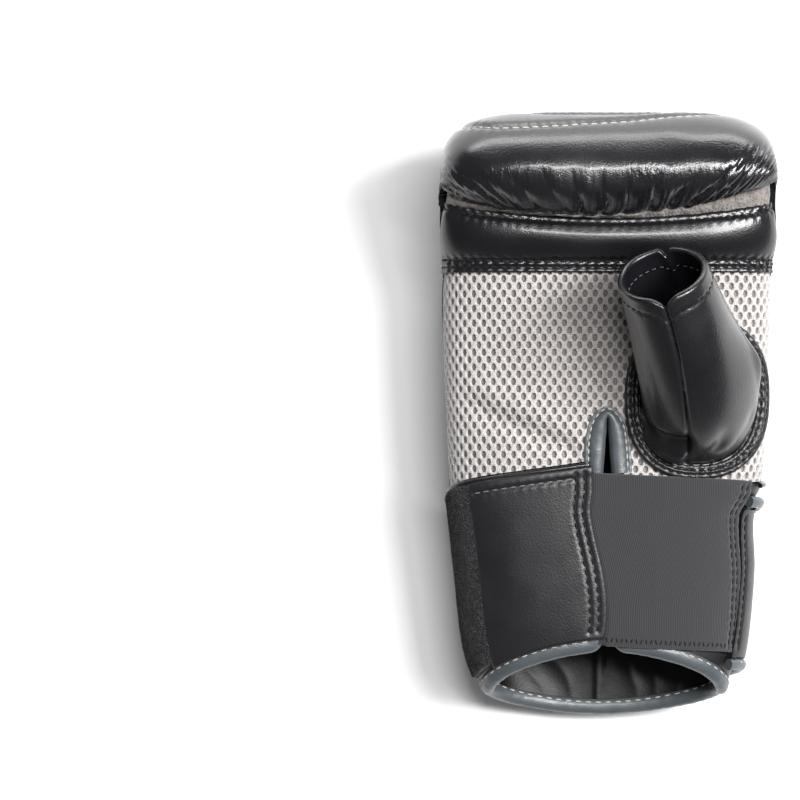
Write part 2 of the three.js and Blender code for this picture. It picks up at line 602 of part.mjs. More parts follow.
// Outline of the strap grown by some millimetres: turns with the half width that it has there
function strapOutline(grow) {
  const reach = (STRAP_CORNER + grow) / STRAP_CORNER;
  const straight = spread(16, ELASTIC_END + 1, STRAP_END - CORNER_TURN)
    .map((turn) => ({ turn, half: STRAP_WIDTH / 2 + grow }));
  const corner = [22, 45, 68, 90].map((degrees) => ({
    turn: STRAP_END - CORNER_TURN + CORNER_TURN * reach * sin(rad(degrees)),
    half: STRAP_WIDTH / 2 - STRAP_CORNER * (1 - reach * cos(rad(degrees))),
  }));
  return [...straight, ...corner];
}
function strap() {
  const outline = strapOutline(0);
  const place = (u, v) => {
    const { turn, half } = outline[Math.round(u * (outline.length - 1))];
    return { turn, y: strapMiddle(turn) + half * (1 - 2 * v) };
  };
  return sheet(outline.length - 1, 6, place, STRAP_LIFT, STRAP_LIFT + STRAP);
}
function strapBinding() {
  const lift = STRAP_LIFT + STRAP_BEAD / 2;
  const spot = ({ turn, half }, side) => {
    const y = strapMiddle(turn) + side * half;
    return { point: hullPoint(turn, y, lift), normal: hullNormal(turn, y) };
  };
  const outline = strapOutline(STRAP_BEAD / 2 + 3 * LAYER_GAP);
  const upper = outline.map((stop) => spot(stop, 1));
  const lower = outline.map((stop) => spot(stop, -1)).reverse();
  return bead([...upper, spot({ ...outline.at(-1), half: 0 }, 1), ...lower], STRAP_BEAD, STRAP_BEAD);
}
function strapPatch() {
  const spanTurn = PATCH_LENGTH / perDegree(PATCH_TURN, strapMiddle(PATCH_TURN));
  const place = (u, v) => {
    const turn = PATCH_TURN + spanTurn * (u - 0.5);
    return { turn, y: strapMiddle(turn) + PATCH_WIDTH * (0.5 - v) };
  };
  const lift = STRAP_LIFT + STRAP + LAYER_GAP;
  return sheet(10, 4, place, lift, lift + PATCH);
}
function sizeTab() {
  const span = TAB_WIDTH / perDegree(TAB_TURN, mouthY(TAB_TURN));
  const place = (u, v) => {
    const turn = TAB_TURN + span * (u - 0.5);
    const end = mouthY(turn) - CUFF_BEAD;
    return { turn, y: lerp(end + TAB_LENGTH, end, v) };
  };
  const lift = (CUFF_BEAD - CUFF_WALL) / 2 + LAYER_GAP;
  return sheet(3, 2, place, lift, lift + TAB_WALL);
}

const glove = new THREE.Group();
const pieces = [
  ['back_pad', backPad, leather()],
  ['palm_mesh', palmMesh, material(0xc4c0bc, 0.8)],
  ['finger_band', fingerBand, leather()],
  ['finger_lining', fingerLining, material(0x8f8c8a, 0.85)],
  ['thumb_stall', thumbStall, leather()],
  ['thumb_patch', thumbPatch, leather()],
  ['slit_binding', slitBinding, binding()],
  ['cuff', cuff, leather()],
  ['cuff_binding', cuffBinding, binding()],
  ['wrist_welt', wristWelt, leather()],
  ['cuff_panel', cuffPanel, leather()],
  ['loop_strip', loopStrip, material(0x1e1c20, 0.95)],
  ['elastic_band', elasticBand, material(0x3c3a39, 0.85)],
  ['strap', strap, leather()],
  ['strap_binding', strapBinding, binding()],
  ['strap_patch', strapPatch, material(0x2b2c2e, 0.7)],
  ['size_tab', sizeTab, material(0xe8e6e2, 0.8)],
];
for (const [name, make, look] of pieces) {
  const mesh = new THREE.Mesh(make(), look);
  mesh.name = name;
  glove.add(mesh);
}
// The origin is under the middle of the whole glove, on the surface that it lies on
const box = new THREE.Box3().setFromObject(glove);
const middle = box.getCenter(new THREE.Vector3());
glove.position.set(-middle.x, -middle.y, -box.min.z);

export default glove;
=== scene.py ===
"""A right-hand bag glove lying on its padded back, palm up, on a pale floor."""

import math

import bpy
import numpy as np
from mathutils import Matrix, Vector, kdtree


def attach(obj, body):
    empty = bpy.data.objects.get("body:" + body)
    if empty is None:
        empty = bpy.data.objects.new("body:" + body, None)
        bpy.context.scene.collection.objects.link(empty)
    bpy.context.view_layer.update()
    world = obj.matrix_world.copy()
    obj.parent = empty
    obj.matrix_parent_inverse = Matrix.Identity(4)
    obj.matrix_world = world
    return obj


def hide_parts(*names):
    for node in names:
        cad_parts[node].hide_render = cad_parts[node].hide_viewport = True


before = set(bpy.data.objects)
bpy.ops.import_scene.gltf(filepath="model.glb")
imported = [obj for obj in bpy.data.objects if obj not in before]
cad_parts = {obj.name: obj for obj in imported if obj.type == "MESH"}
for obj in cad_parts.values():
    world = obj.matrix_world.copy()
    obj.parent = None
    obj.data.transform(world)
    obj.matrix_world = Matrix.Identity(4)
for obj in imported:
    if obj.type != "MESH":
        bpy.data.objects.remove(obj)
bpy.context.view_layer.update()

# Sizes in millimetres and turns in degrees. The hull and the ribs are those of the solids.
LENGTH = 238
HALF_WIDTH = 65.2
PALM_HEIGHT = 60
CURL_HEIGHT = 88
CUFF_LIFT = 8.6
FOAM, SIDE_FOAM = 22, 5.5
SETTLE, SETTLE_HEIGHT = 1.4, 20
PAD_FLARE, END_SKEW, INNER_ROUND = 2.4, 1.6, 2.3
SEAM_GAP, LAYER_GAP = 0.35, 0.4
SEAM_Y, SEAM_SLOPE, SEAM_STEP, FLAP_RISE = -27, 2.5, 1, 13.9
HAND_LENGTH = LENGTH / 2 - SEAM_Y
HEM_START, BAND_START, BAND_WIDTH, BAND_FLARE = 56.3, 58.8, 17, 6
BAND_REACH, LINING_REACH, LINING_WALL = 88.5, 78, 1.8
MOUTH_SIDE, MOUTH_PALM, MOUTH_BACK = -103, 19, 10
FLAP_GAP, FLAP_CORNER, FLAP_TOP = 4.5, 4, 2.2
CUFF_WALL, CUFF_BEAD, CUFF_MIDDLE = 3.2, 5.4, 33
WELT_START, WELT_END, WELT_BEAD = 64, 351.5, 2.1
THUMB_X, THUMB_Y = 33.4, 8
FOOT_X, FOOT_Y, FOOT_ROUND, FOOT_HEIGHT = 22.2, 25.6, 2.4, 0.965
STALL_LENGTH, RIM_RADIUS, STALL_WALL, ELBOW = 62.5, 16.9, 2, 3
STALL_SPAN = 62                             # what a pinch counts for the stall's whole length
FRONT_SEAM, REAR_SEAM = 256, 71
RING_NEAR, RING_FAR, RING_TOP = 1.0, 4.9, 2.2
SLIT_X, SLIT_TOP, SLIT_LENGTH, SLIT_HALF, SLIT_EDGE = -0.9, 1.4, 25, 5, 3.2
ELASTIC_WIDTH, ELASTIC_TOP, ELASTIC_SLOPE, ELASTIC_END = 65, -21.4, 3.2, 58
PANEL_SIDE, LOOP_END = -51, -101
STRAP_WIDTH, STRAP_TOP, STRAP_DROP, STRAP_END, STRAP_CORNER = 58, -34, 11, 224, 15
STRAP, STRAP_BEAD, STRAP_LIFT = 2.6, 4, 0.8
PATCH_TURN, PATCH_LENGTH, PATCH_WIDTH, PATCH, PATCH_CORNER = 176, 76, 34, 1.6, 3
TAB_TURN, TAB_WIDTH, TAB_LENGTH = 186, 19, 8.4
TO_FRAME = np.array([0.525, -0.105, 0.0])   # from the hull's middle line to the frame's origin
STITCH_PITCH = 3.8                          # heavy seams of sport leather
THREAD_FLAT = 0.36                          # half a stitch's height, as a share of its width
HOLE_PITCH, ROW_PITCH = 3.9, 2.8            # holes of the spacer mesh
HOLE_WIDTH, HOLE_HEIGHT = 2.0, 2.7
CELLS_LOW, CELLS_HIGH, CELLS_SIDE = -30, 60, 84   # how far its cells reach
LENS, CAMERA_X, CAMERA_Y, CAMERA_Z = 110.75, -80.3, 7, 1000   # from straight above, as photographed

# at, half, lean, edge, high, low, round
HULL = np.array([
    (0.0, 0.655, 0.0, 0.5, 0.85, 1.12, 2.3),
    (0.055, 0.73, 0.0, 0.51, 0.875, 1.04, 2.4),
    (0.122, 0.81, -0.004, 0.53, 0.9, 1.0, 2.5),
    (0.248, 0.858, -0.011, 0.55, 0.925, 1.0, 2.7),
    (0.345, 0.876, -0.033, 0.575, 0.94, 1.0, 2.85),
    (0.386, 0.928, -0.002, 0.59, 0.947, 1.0, 2.9),
    (0.5, 0.955, 0.0, 0.615, 0.97, 1.0, 3.1),
    (0.626, 0.972, 0.0, 0.635, 0.995, 1.0, 3.2),
    (0.702, 0.974, 0.0, 0.665, 1.02, 1.0, 3.2),
    (0.744, 0.966, 0.0, 0.72, 1.04, 1.0, 3.1),
    (0.782, 0.962, 0.0, 0.8, 1.075, 1.0, 2.9),
    (0.82, 0.955, -0.008, 0.9, 1.11, 1.0, 2.6),
    (0.855, 0.945, -0.016, 0.98, 1.14, 1.0, 2.4),
    (0.885, 0.93, -0.02, 1.045, 1.16, 1.0, 2.3),
])
# back, rise, side, round, foam_y, foam_z, flare
RIBS = np.array([
    (0.0, 0.085, 0.0, 2.8, 0.0, 0.2, 0),
    (0.027, 0.02, 0.041, 3.0, 0.0, 0.56, 0),
    (0.116, 0.0, 0.13, 3.3, 0.0, 0.8, 0),
    (0.39, 0.0, 0.377, 3.5, 0.0, 1.0, 0),
    (0.61, 0.0, 0.514, 3.6, -0.05, 1.04, 0.2),
    (0.76, 0.028, 0.5685, 3.8, -0.25, 1.07, 0.35),
    (0.888, 0.125, 0.6096, 4.2, -0.63, 0.95, 0.5),
    (0.962, 0.295, 0.65, 4.7, -0.89, 0.64, 0.7),
    (0.99, 0.523, 0.69, 5.0, -0.97, 0.14, 0.9),
    (0.975, 0.739, 0.728, 4.6, -0.89, -0.36, 1),
    (0.921, 0.909, 0.757, 4.0, -0.61, -0.82, 1.1),
    (0.842, 0.994, 0.78, 3.4, -0.23, -1.02, 1.1),
    (0.774, 0.977, 0.797, 2.9, 0.07, -0.9, 1),
    (0.729, 0.898, 0.806, 2.4, 0.2, -0.55, 0.8),
    (0.716, 0.807, 0.81, 2.1, 0.16, -0.18, 0.5),
])


# ---- numbers and curves
def curve(places, values):
    """Smooth curve through one column of a table."""
    at, value = np.asarray(places, float), np.asarray(values, float)
    k = np.arange(len(at))
    before, after = np.maximum(k - 1, 0), np.minimum(k + 1, len(at) - 1)
    slope = (value[after] - value[before]) / (at[after] - at[before])

    def read(share):
        s = np.clip(share, at[0], at[-1])
        i = np.clip(np.searchsorted(at, s, side="left") - 1, 0, len(at) - 2)
        span = at[i + 1] - at[i]
        t = (s - at[i]) / span
        a = (1 + 2 * t) * (1 - t) ** 2 * value[i] + t * (1 - t) ** 2 * span * slope[i]
        return a + t * t * (3 - 2 * t) * value[i + 1] - t * t * (1 - t) * span * slope[i + 1]
    return read


def unit(v):
    return v / np.maximum(np.linalg.norm(v, axis=-1, keepdims=True), 1e-9)


def ramp(low, high, x):
    t = np.clip((x - low) / (high - low), 0, 1)
    return t * t * (3 - 2 * t)


def bump_at(x, middle, width):
    return np.exp(-(((x - middle) / width) ** 2))


def drift(x, seed, step=1.0):
    """Smooth random curve from -1 to 1."""
    values = np.random.default_rng(seed).uniform(-1, 1, 512)
    s = np.asarray(x, float) / step
    i = np.floor(s).astype(int)
    t = ramp(0, 1, s - i)
    return values[i % 512] * (1 - t) + values[(i + 1) % 512] * t


def clouds(x, y, seed, step=1.0):
    """Smooth random field from -1 to 1."""
    table = np.random.default_rng(seed).uniform(-1, 1, (64, 64))
    x, y = np.asarray(x, float) / step, np.asarray(y, float) / step
    i, j = np.floor(x).astype(int), np.floor(y).astype(int)
    s, t = ramp(0, 1, x - i), ramp(0, 1, y - j)
    low = table[i % 64, j % 64] * (1 - s) + table[(i + 1) % 64, j % 64] * s
    high = table[i % 64, (j + 1) % 64] * (1 - s) + table[(i + 1) % 64, (j + 1) % 64] * s
    return low * (1 - t) + high * t


def creases(x, seed, narrow, wide):
    """Ridges from 0 in a crease to 1 between two, with uneven spacing."""
    steps = np.random.default_rng(seed).uniform(narrow, wide, 400)
    phase = np.interp(x, np.cumsum(steps) - steps.sum() / 2, np.arange(400))
    return np.abs(np.sin(np.pi * phase)) ** 0.6


def run_of(points):
    """How far along its path each point lies."""
    return np.concatenate([[0], np.cumsum(np.linalg.norm(np.diff(points, axis=0), axis=1))])


def respaced(values, points, count):
    """Values spread so that the points they give lie evenly."""
    run = run_of(points)
    return np.interp(np.linspace(0, run[-1], count + 1), run, values)


# ---- the hull of hand and wrist, and the pad's ribs
HULL_CURVES = [curve(HULL[:, 0], column) for column in HULL.T[1:]]
RIB_CURVES = [curve(np.linspace(0, 1, len(RIBS)), column) for column in RIBS.T]


def section(y):
    half, lean, edge, high, low, squareness = [c(y / LENGTH + 0.5) for c in HULL_CURVES]
    return (half * HALF_WIDTH, lean * HALF_WIDTH, edge * PALM_HEIGHT, high * PALM_HEIGHT,
            low * CUFF_LIFT, squareness)


def bow(turn, squareness):
    s, c = np.sin(np.radians(turn)), np.cos(np.radians(turn))
    k = (np.abs(s) ** squareness + np.abs(c) ** squareness) ** (-1 / squareness)
    return s * k, c * k


def on_hull(turn, y):
    turn, y = np.broadcast_arrays(np.asarray(turn, float), np.asarray(y, float))
    half, lean, edge, high, low, squareness = section(y)
    across, up = bow(turn, squareness)
    return np.stack([lean + half * across, y, edge + np.where(up > 0, high - edge, edge - low) * up], -1)


def hull_normal(turn, y):
    across = on_hull(turn + 1, y) - on_hull(turn - 1, y)
    along = on_hull(turn, y + 1) - on_hull(turn, y - 1)
    normal = unit(np.cross(across, along))
    out = np.stack([np.sin(np.radians(turn)), 0 * turn, np.cos(np.radians(turn))], -1)
    return normal * np.where((normal * out).sum(-1, keepdims=True) < 0, -1, 1)


def hull_point(turn, y, lift=0.0):
    turn, y, lift = np.broadcast_arrays(*(np.asarray(a, float) for a in (turn, y, lift)))
    return on_hull(turn, y) + hull_normal(turn, y) * lift[..., None]


def turn_at(x, y):
    half, lean, _, _, _, squareness = section(y)
    q = np.minimum(np.abs(x - lean) / half, 0.999)
    return np.sign(x - lean) * np.degrees(np.arctan2(q, (1 - q ** squareness) ** (1 / squareness)))


def per_degree(turn, y):
    return float(np.linalg.norm(hull_point(turn + 0.5, y) - hull_point(turn - 0.5, y)))


def seam_y(turn):
    """The seam between hand and cuff."""
    turn = np.where(np.asarray(turn) > 270, np.asarray(turn, float) - 360, turn)
    fingers = SEAM_Y - SEAM_SLOPE + FLAP_RISE * (1 + turn / 90)
    thumb = SEAM_Y + SEAM_STEP + (SEAM_SLOPE - SEAM_STEP) * turn / 90
    back = SEAM_Y + SEAM_SLOPE * np.sin(np.radians(turn))
    return np.where((turn >= -90) & (turn < 0), fingers, np.where((turn >= 0) & (turn <= 90), thumb, back))


def mouth_y(turn):
    c = np.cos(np.radians(turn))
    return MOUTH_SIDE + np.where(c > 0, MOUTH_PALM * c ** 2, -MOUTH_BACK * np.abs(c) ** 1.5)


def band_top(turn):
    return BAND_START + BAND_WIDTH + BAND_FLARE * np.sin(np.radians(turn)) ** 2


def pad_point(turn, at, inner=False):
    turn, at = np.broadcast_arrays(np.asarray(turn, float), np.asarray(at, float))
    back, rise, side, squareness, foam_y, foam_z, flare = [c(at) for c in RIB_CURVES]
    across, up = bow(turn, INNER_ROUND if inner else squareness)
    slant = (seam_y(180 - turn) - SEAM_Y) * np.maximum(0, 1 - at * 5)
    start = SEAM_Y + SEAM_GAP + slant + END_SKEW * across * np.maximum(0, 2 * at - 1)
    side_y = start + side * HAND_LENGTH
    half, lean, edge, _, _, _ = section(side_y)
    width = half - SIDE_FOAM if inner else half + flare * PAD_FLARE
    back_y = start + back * HAND_LENGTH + (foam_y * FOAM if inner else 0)
    back_z = rise * CURL_HEIGHT + (foam_z * FOAM if inner else 0)
    return np.stack([lean + width * across, side_y + (back_y - side_y) * up, edge + (back_z - edge) * up], -1)


# ---- surfaces, and what is sewn into them
class Surface:
    """Grid of points with normals: v runs along the rows' order and u along a row, both from 0 to 1."""

    def __init__(self, place, rows, columns, u=None, v=None, wrap=False, core=(0, None, 32)):
        self.u = np.linspace(0, 1, columns + 1) if u is None else u
        self.v = np.linspace(0, 1, rows + 1) if v is None else v
        self.wrap = wrap
        self.grid_u, self.grid_v = np.meshgrid(self.u, self.v)
        self.points = place(self.grid_u, self.grid_v)
        self.core = core
        self.find_normals()

    def find_normals(self):
        """Normals that point away from the core. A core's missing numbers are the middle's."""
        across = np.gradient(self.points, axis=1)
        if self.wrap:   # the last column repeats the first
            across[:, 0] = across[:, -1] = (self.points[:, 1] - self.points[:, -2]) / 2
        normals = unit(np.cross(across, np.gradient(self.points, axis=0)))
        core = [c if c is not None else self.points[..., k].mean() for k, c in enumerate(self.core)]
        self.normals = normals * np.sign((normals * (self.points - core)).sum())

    def raise_by(self, amount):
        self.points = self.points + self.normals * amount[..., None]

    def at(self, u, v):
        i = np.interp(v, self.v, np.arange(len(self.v)))
        j = np.interp(u, self.u, np.arange(len(self.u)))
        i0, j0 = np.minimum(i.astype(int), len(self.v) - 2), np.minimum(j.astype(int), len(self.u) - 2)
        s, t = (i - i0)[:, None], (j - j0)[:, None]
        read = [(1 - s) * ((1 - t) * g[i0, j0] + t * g[i0, j0 + 1])
                + s * ((1 - t) * g[i0 + 1, j0] + t * g[i0 + 1, j0 + 1]) for g in (self.points, self.normals)]
        return read[0], unit(read[1])

    def line(self, path, pitch, smooth=True):
        """Places and normals with an even pitch along a path of (u, v)."""
        path = np.asarray(path, float)
        knots = np.concatenate([[0], np.cumsum(np.hypot(*np.diff(path, axis=0).T) + 1e-6)])
        t = np.linspace(0, knots[-1], 600)
        u, v = (curve(knots, c)(t) if smooth else np.interp(t, knots, c) for c in path.T)
        run = run_of(self.at(u, v)[0])
        spots = np.arange(pitch / 2, run[-1], pitch)
        return self.at(np.interp(spots, run, u), np.interp(spots, run, v))

    def press(self, path, depth, width, pucker=0.0, spread=3.0, seed=1, smooth=True):
        """Sinks a seam into the surface, with a dent at each stitch and short puckers beside it."""
        parts = 6   # places to a stitch
        places, _ = self.line(path, STITCH_PITCH / parts, smooth)
        tree = kdtree.KDTree(len(places))
        for k, p in enumerate(places):
            tree.insert(p, k)
        tree.balance()
        found = np.array([tree.find(p)[1:] for p in self.points.reshape(-1, 3)])
        along, away = (found[:, k].reshape(self.grid_u.shape) for k in (0, 1))
        along = along / parts
        beat = 0.5 + 0.5 * np.cos(2 * np.pi * along)
        relief = -depth * bump_at(away, 0, width) * (0.7 + 0.3 * beat if pucker else 1)
        if pucker:
            waves = np.cos(2 * np.pi * along + 1.2 * drift(along, seed, 2.3))
            waves = waves + 0.6 * drift(along, seed + 1, 0.7)
            relief += pucker * waves * bump_at(away, width * 0.9, spread) * (1 - bump_at(away, 0, width * 0.5))
        self.raise_by(relief)


THREADS = {"cream": [], "black": [], "grey": []}


def sew(surface, path, colour, length=2.7, width=0.85, pitch=STITCH_PITCH, lift=0.12, smooth=True):
    """Stitches of one thread along a path on the surface."""
    places, normals = surface.line(path, pitch, smooth)
    size = np.broadcast_to([length / 2, width / 2, width * THREAD_FLAT], places.shape)
    THREADS[colour].append((places + normals * lift, unit(np.gradient(places, axis=0)), normals, size))


def upright(u, low=0.01, high=0.99):
    """A path up a surface."""
    return [(u, low), (u, 0.5), (u, high)]


# ---- meshes
def placed(name, data):
    made = bpy.data.objects.new(name, data)
    bpy.context.scene.collection.objects.link(made)
    return made


def settle(piece, node=None, slot=None):
    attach(piece, "root")
    if node:
        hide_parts(node)
    return piece


def finished(name, points, faces, material, node=None, uv=None, closed=True, sharp=50):
    """A piece from points in millimetres, facing outwards, riding on the glove's one body."""
    points = (np.asarray(points, float).reshape(-1, 3) + TO_FRAME) / 1000
    if closed:
        fans = np.array([(f[0], f[k], f[k + 1]) for f in faces for k in range(1, len(f) - 1)])
        a, b, c = (points[fans[:, k]] for k in range(3))
        if (a * np.cross(b, c)).sum() < 0:
            faces = [f[::-1] for f in faces]
    mesh = bpy.data.meshes.new(name)
    mesh.from_pydata(points.tolist(), [], [list(map(int, f)) for f in faces])
    if uv is not None:
        layer = mesh.uv_layers.new(name="UVMap")
        corner = np.zeros(len(mesh.loops), np.int32)
        mesh.loops.foreach_get("vertex_index", corner)
        layer.data.foreach_set("uv", np.asarray(uv, np.float32).reshape(-1, 2)[corner].ravel())
    mesh.polygons.foreach_set("use_smooth", np.ones(len(mesh.polygons), bool))
    mesh.set_sharp_from_angle(angle=math.radians(sharp))
    mesh.update()
    mesh.materials.append(material)
    return settle(placed(name, mesh), node, SLOTS[material.name])


def numbered(rows, columns, first=0):
    return first + np.arange(rows * columns).reshape(rows, columns)


def quads(g):
    return np.stack([g[:-1, :-1], g[:-1, 1:], g[1:, 1:], g[1:, :-1]], -1).reshape(-1, 4)


def lip(outer, inner, axis, ends="both", steps=3):
    """Rounds the edges of a wall at the ends of one axis of its two grids."""
    o, n = np.moveaxis(outer, axis, 0), np.moveaxis(inner, axis, 0)
    turns = np.radians(np.linspace(0, 78, steps + 1)[1:])

    def rounded(edge, back, nearby):
        middle, half = (edge + back) / 2, (edge - back) / 2
        radius = np.linalg.norm(half, axis=-1, keepdims=True)
        run = unit(edge - nearby)
        return [np.stack([middle + side * half * np.cos(a) + run * radius * np.sin(a) for a in turns])
                for side in (1, -1)]
    more_o, more_n = rounded(o[-1], n[-1], o[-2])
    if ends == "both":
        first_o, first_n = rounded(o[0], n[0], o[1])
        o, n = np.concatenate([first_o[::-1], o]), np.concatenate([first_n[::-1], n])
    o, n = np.concatenate([o, more_o]), np.concatenate([n, more_n])
    return np.moveaxis(o, 0, axis), np.moveaxis(n, 0, axis)


def shell(name, outer, inner, material, node, stride=1, wrap=False, sharp=50, size=None):
    """Closed wall between two grids. The inner grid may be coarser by a whole stride."""
    if wrap:   # the last column repeats the first
        outer, inner = outer[:, :-1], inner[:, :-1]
    out = numbered(*outer.shape[:2])
    back = numbered(*inner.shape[:2], out.size)
    if wrap:
        out, back = np.hstack([out, out[:, :1]]), np.hstack([back, back[:, :1]])

    def rim(fine, coarse, forward):
        faces = []
        for k in range(len(coarse) - 1):
            face = [*fine[k * stride:(k + 1) * stride + 1], coarse[k + 1], coarse[k]]
            faces.append(face if forward else face[::-1])
        return faces
    faces = quads(out).tolist() + quads(back)[:, ::-1].tolist()
    faces += rim(out[0], back[0], False) + rim(out[-1], back[-1], True)
    if not wrap:
        faces += rim(out[:, 0], back[:, 0], True) + rim(out[:, -1], back[:, -1], False)

    def spread(g):
        """UV in tenths of a metre, from the lengths of rows and columns or from a given size."""
        if size:
            u, v = np.meshgrid(np.linspace(0, size[0], g.shape[1]), np.linspace(0, size[1], len(g)))
        else:
            u, v = (np.cumsum(np.linalg.norm(np.diff(g, axis=k, prepend=np.take(g, [0], k)), axis=-1), k)
                    for k in (1, 0))
        return np.stack([u, v], -1).reshape(-1, 2) / 100
    uv = np.concatenate([spread(outer), spread(inner)])
    points = np.concatenate([outer.reshape(-1, 3), inner.reshape(-1, 3)])
    return finished(name, points, faces, material, node, uv, sharp=sharp)


def walled(name, outer, inner, material, node, sides=True, ends=True, steps=3, wrap=False):
    """A wall between two surfaces, its edges rounded."""
    o, n = outer.points, inner.points
    if ends:
        o, n = lip(o, n, 0, steps=steps)
    if sides and not wrap:
        o, n = lip(o, n, 1, steps=steps)
    return shell(name, o, n, material, node, wrap=wrap, sharp=65)


def bead(name, places, normals, width, height, material, node, sides=14, squareness=2.0, wrinkle=0.0):
    """Rolled tape along a path. Returns its surface, so that it can be sewn."""
    run = unit(np.gradient(places, axis=0))
    across = unit(np.cross(run, normals))
    up = np.cross(across, run)
    angle = np.linspace(0, 360, sides + 1)
    s, c = bow(angle, squareness)
    away = across[:, None] * s[None, :, None] * (width / 2) + up[:, None] * c[None, :, None] * (height / 2)
    length = run_of(places)
    away = away * (1 + wrinkle * clouds(length[:, None], angle[None] / 22, 5, 1.7)[..., None])
    away[:, -1] = away[:, 0]
    grid = places[:, None] + away
    index = numbered(len(places), sides)
    faces = quads(np.hstack([index, index[:, :1]])).tolist() + [index[0, ::-1].tolist(), index[-1].tolist()]
    uv = np.stack(np.broadcast_arrays(length[:, None], angle[None, :-1] / 10), -1) / 100
    finished(name, grid[:, :-1], faces, material, node, uv)
    tape = Surface(lambda u, v: grid, 0, 0, u=np.linspace(0, 1, sides + 1), v=np.linspace(0, 1, len(places)))
    tape.normals = unit(away)
    return tape


# ---- materials
def linear(code):
    parts = [int(code[k:k + 2], 16) / 255 for k in (1, 3, 5)]
    return [p / 12.92 if p <= 0.04045 else ((p + 0.055) / 1.055) ** 2.4 for p in parts] + [1.0]


def add(tree, kind, inputs=None, pick=0, **settings):
    """Adds a node whose inputs are values or other nodes' outputs, and returns the picked output."""
    if not kind.startswith("FunctionNode"):
        kind = ("ShaderNode" if tree.type == "SHADER" else "GeometryNode") + kind
    made = tree.nodes.new(kind)
    for key, value in settings.items():
        setattr(made, key, value)
    for key, value in (inputs or {}).items():
        if isinstance(value, bpy.types.NodeSocket):
            tree.links.new(value, made.inputs[key])
        else:
            made.inputs[key].default_value = value
    return made.outputs[pick]


def new_material(name, **values):
    material = bpy.data.materials.new(name)
    material.use_nodes = True
    tree = material.node_tree
    shader = tree.nodes["Principled BSDF"]
    for key, value in values.items():
        shader.inputs[key.replace("_", " ")].default_value = value
    return material, tree, shader


def dress(tree, shader, **sockets):
    for key, value in sockets.items():
        tree.links.new(value, shader.inputs[key.replace("_", " ")])


def noise(tree, place, scale, detail=2.0, pick="Fac", **more):
    return add(tree, "TexNoise", {"Vector": place, "Scale": scale, "Detail": detail, **more}, pick)


def maths(tree, operation, *values):
    return add(tree, "Math", dict(enumerate(values)), operation=operation)


def ranged(tree, value, low, high, from_low=0.0, from_high=1.0):
    return add(tree, "MapRange", {"Value": value, "From Min": from_low, "From Max": from_high,
                                  "To Min": low, "To Max": high}, "Result")


def mixed(tree, share, low, high):
    """Mixes two colours, each a code or a node's output."""
    low, high = (linear(c) if isinstance(c, str) else c for c in (low, high))
    return add(tree, "Mix", {0: share, 6: low, 7: high}, 2, data_type="RGBA")


def mottled(tree, place, scale, low, high):
    """Two close colours mixed by soft noise."""
    return mixed(tree, noise(tree, place, scale, 4.0), low, high)


def bumped(tree, height, strength, distance, under=None, invert=False):
    inputs = {"Height": height, "Strength": strength, "Distance": distance}
    return add(tree, "Bump", {**inputs, "Normal": under} if under else inputs, invert=invert)


def leather(name, low, high, rough, grain_mm, grain, coat=0.0, crinkle=False, shine=0.5):
    """Finished cowhide: a pebble grain that breaks the highlights, under a thin glossy top coat."""
    material, tree, shader = new_material(name, IOR=1.5, Specular_IOR_Level=shine, Coat_Weight=coat,
                                          Coat_Roughness=0.16)
    place = add(tree, "TexCoord", pick="Object")
    rubbed = ranged(tree, noise(tree, place, 45, 3.0), rough - 0.07, rough + 0.09, 0.3, 0.7)
    warp = add(tree, "VectorMath", {0: noise(tree, place, 400, pick="Color"), 1: (0.0006,) * 3},
               operation="MULTIPLY")
    cells = add(tree, "TexVoronoi", {"Vector": add(tree, "VectorMath", {0: place, 1: warp}, operation="ADD"),
                                     "Scale": 1000 / grain_mm, "Smoothness": 0.55}, feature="SMOOTH_F1")
    coarse = bumped(tree, cells, grain, 0.00022, invert=True)
    fine = bumped(tree, noise(tree, place, 2600), grain * 0.5, 0.00006, coarse)
    if crinkle:
        # where the leather is crushed over the crest, fine folds run across the grain
        mask = add(tree, "Attribute", pick="Fac", attribute_name="crinkle")
        stretched = add(tree, "Mapping", {"Vector": place, "Scale": (1.0, 0.35, 0.35)})
        folds = maths(tree, "MULTIPLY", noise(tree, stretched, 420, 3.0, Distortion=0.6), mask)
        fine = bumped(tree, folds, 0.9, 0.0009, fine)
    dress(tree, shader, Base_Color=mottled(tree, place, 60, low, high), Roughness=rubbed, Normal=fine)
    return material


def fabric(name, low, high, thread_mm, rough, bump=0.5, sheen=0.3, depth=0.0003):
    """Knitted or woven yarn: a soft, matt surface with a fine uneven thread."""
    material, tree, shader = new_material(name, IOR=1.45, Roughness=rough, Specular_IOR_Level=0.25,
                                          Sheen_Weight=sheen, Sheen_Roughness=0.5)
    place = add(tree, "TexCoord", pick="Object")
    yarn = add(tree, "TexVoronoi", {"Vector": place, "Scale": 1000 / thread_mm, "Randomness": 0.8})
    coarse = bumped(tree, yarn, bump, depth, invert=True)
    fuzz = bumped(tree, noise(tree, place, 2500 / thread_mm, 3.0), bump, depth * 0.5, coarse)
    dress(tree, shader, Base_Color=mottled(tree, place, 500 / thread_mm, low, high), Normal=fuzz)
    return material


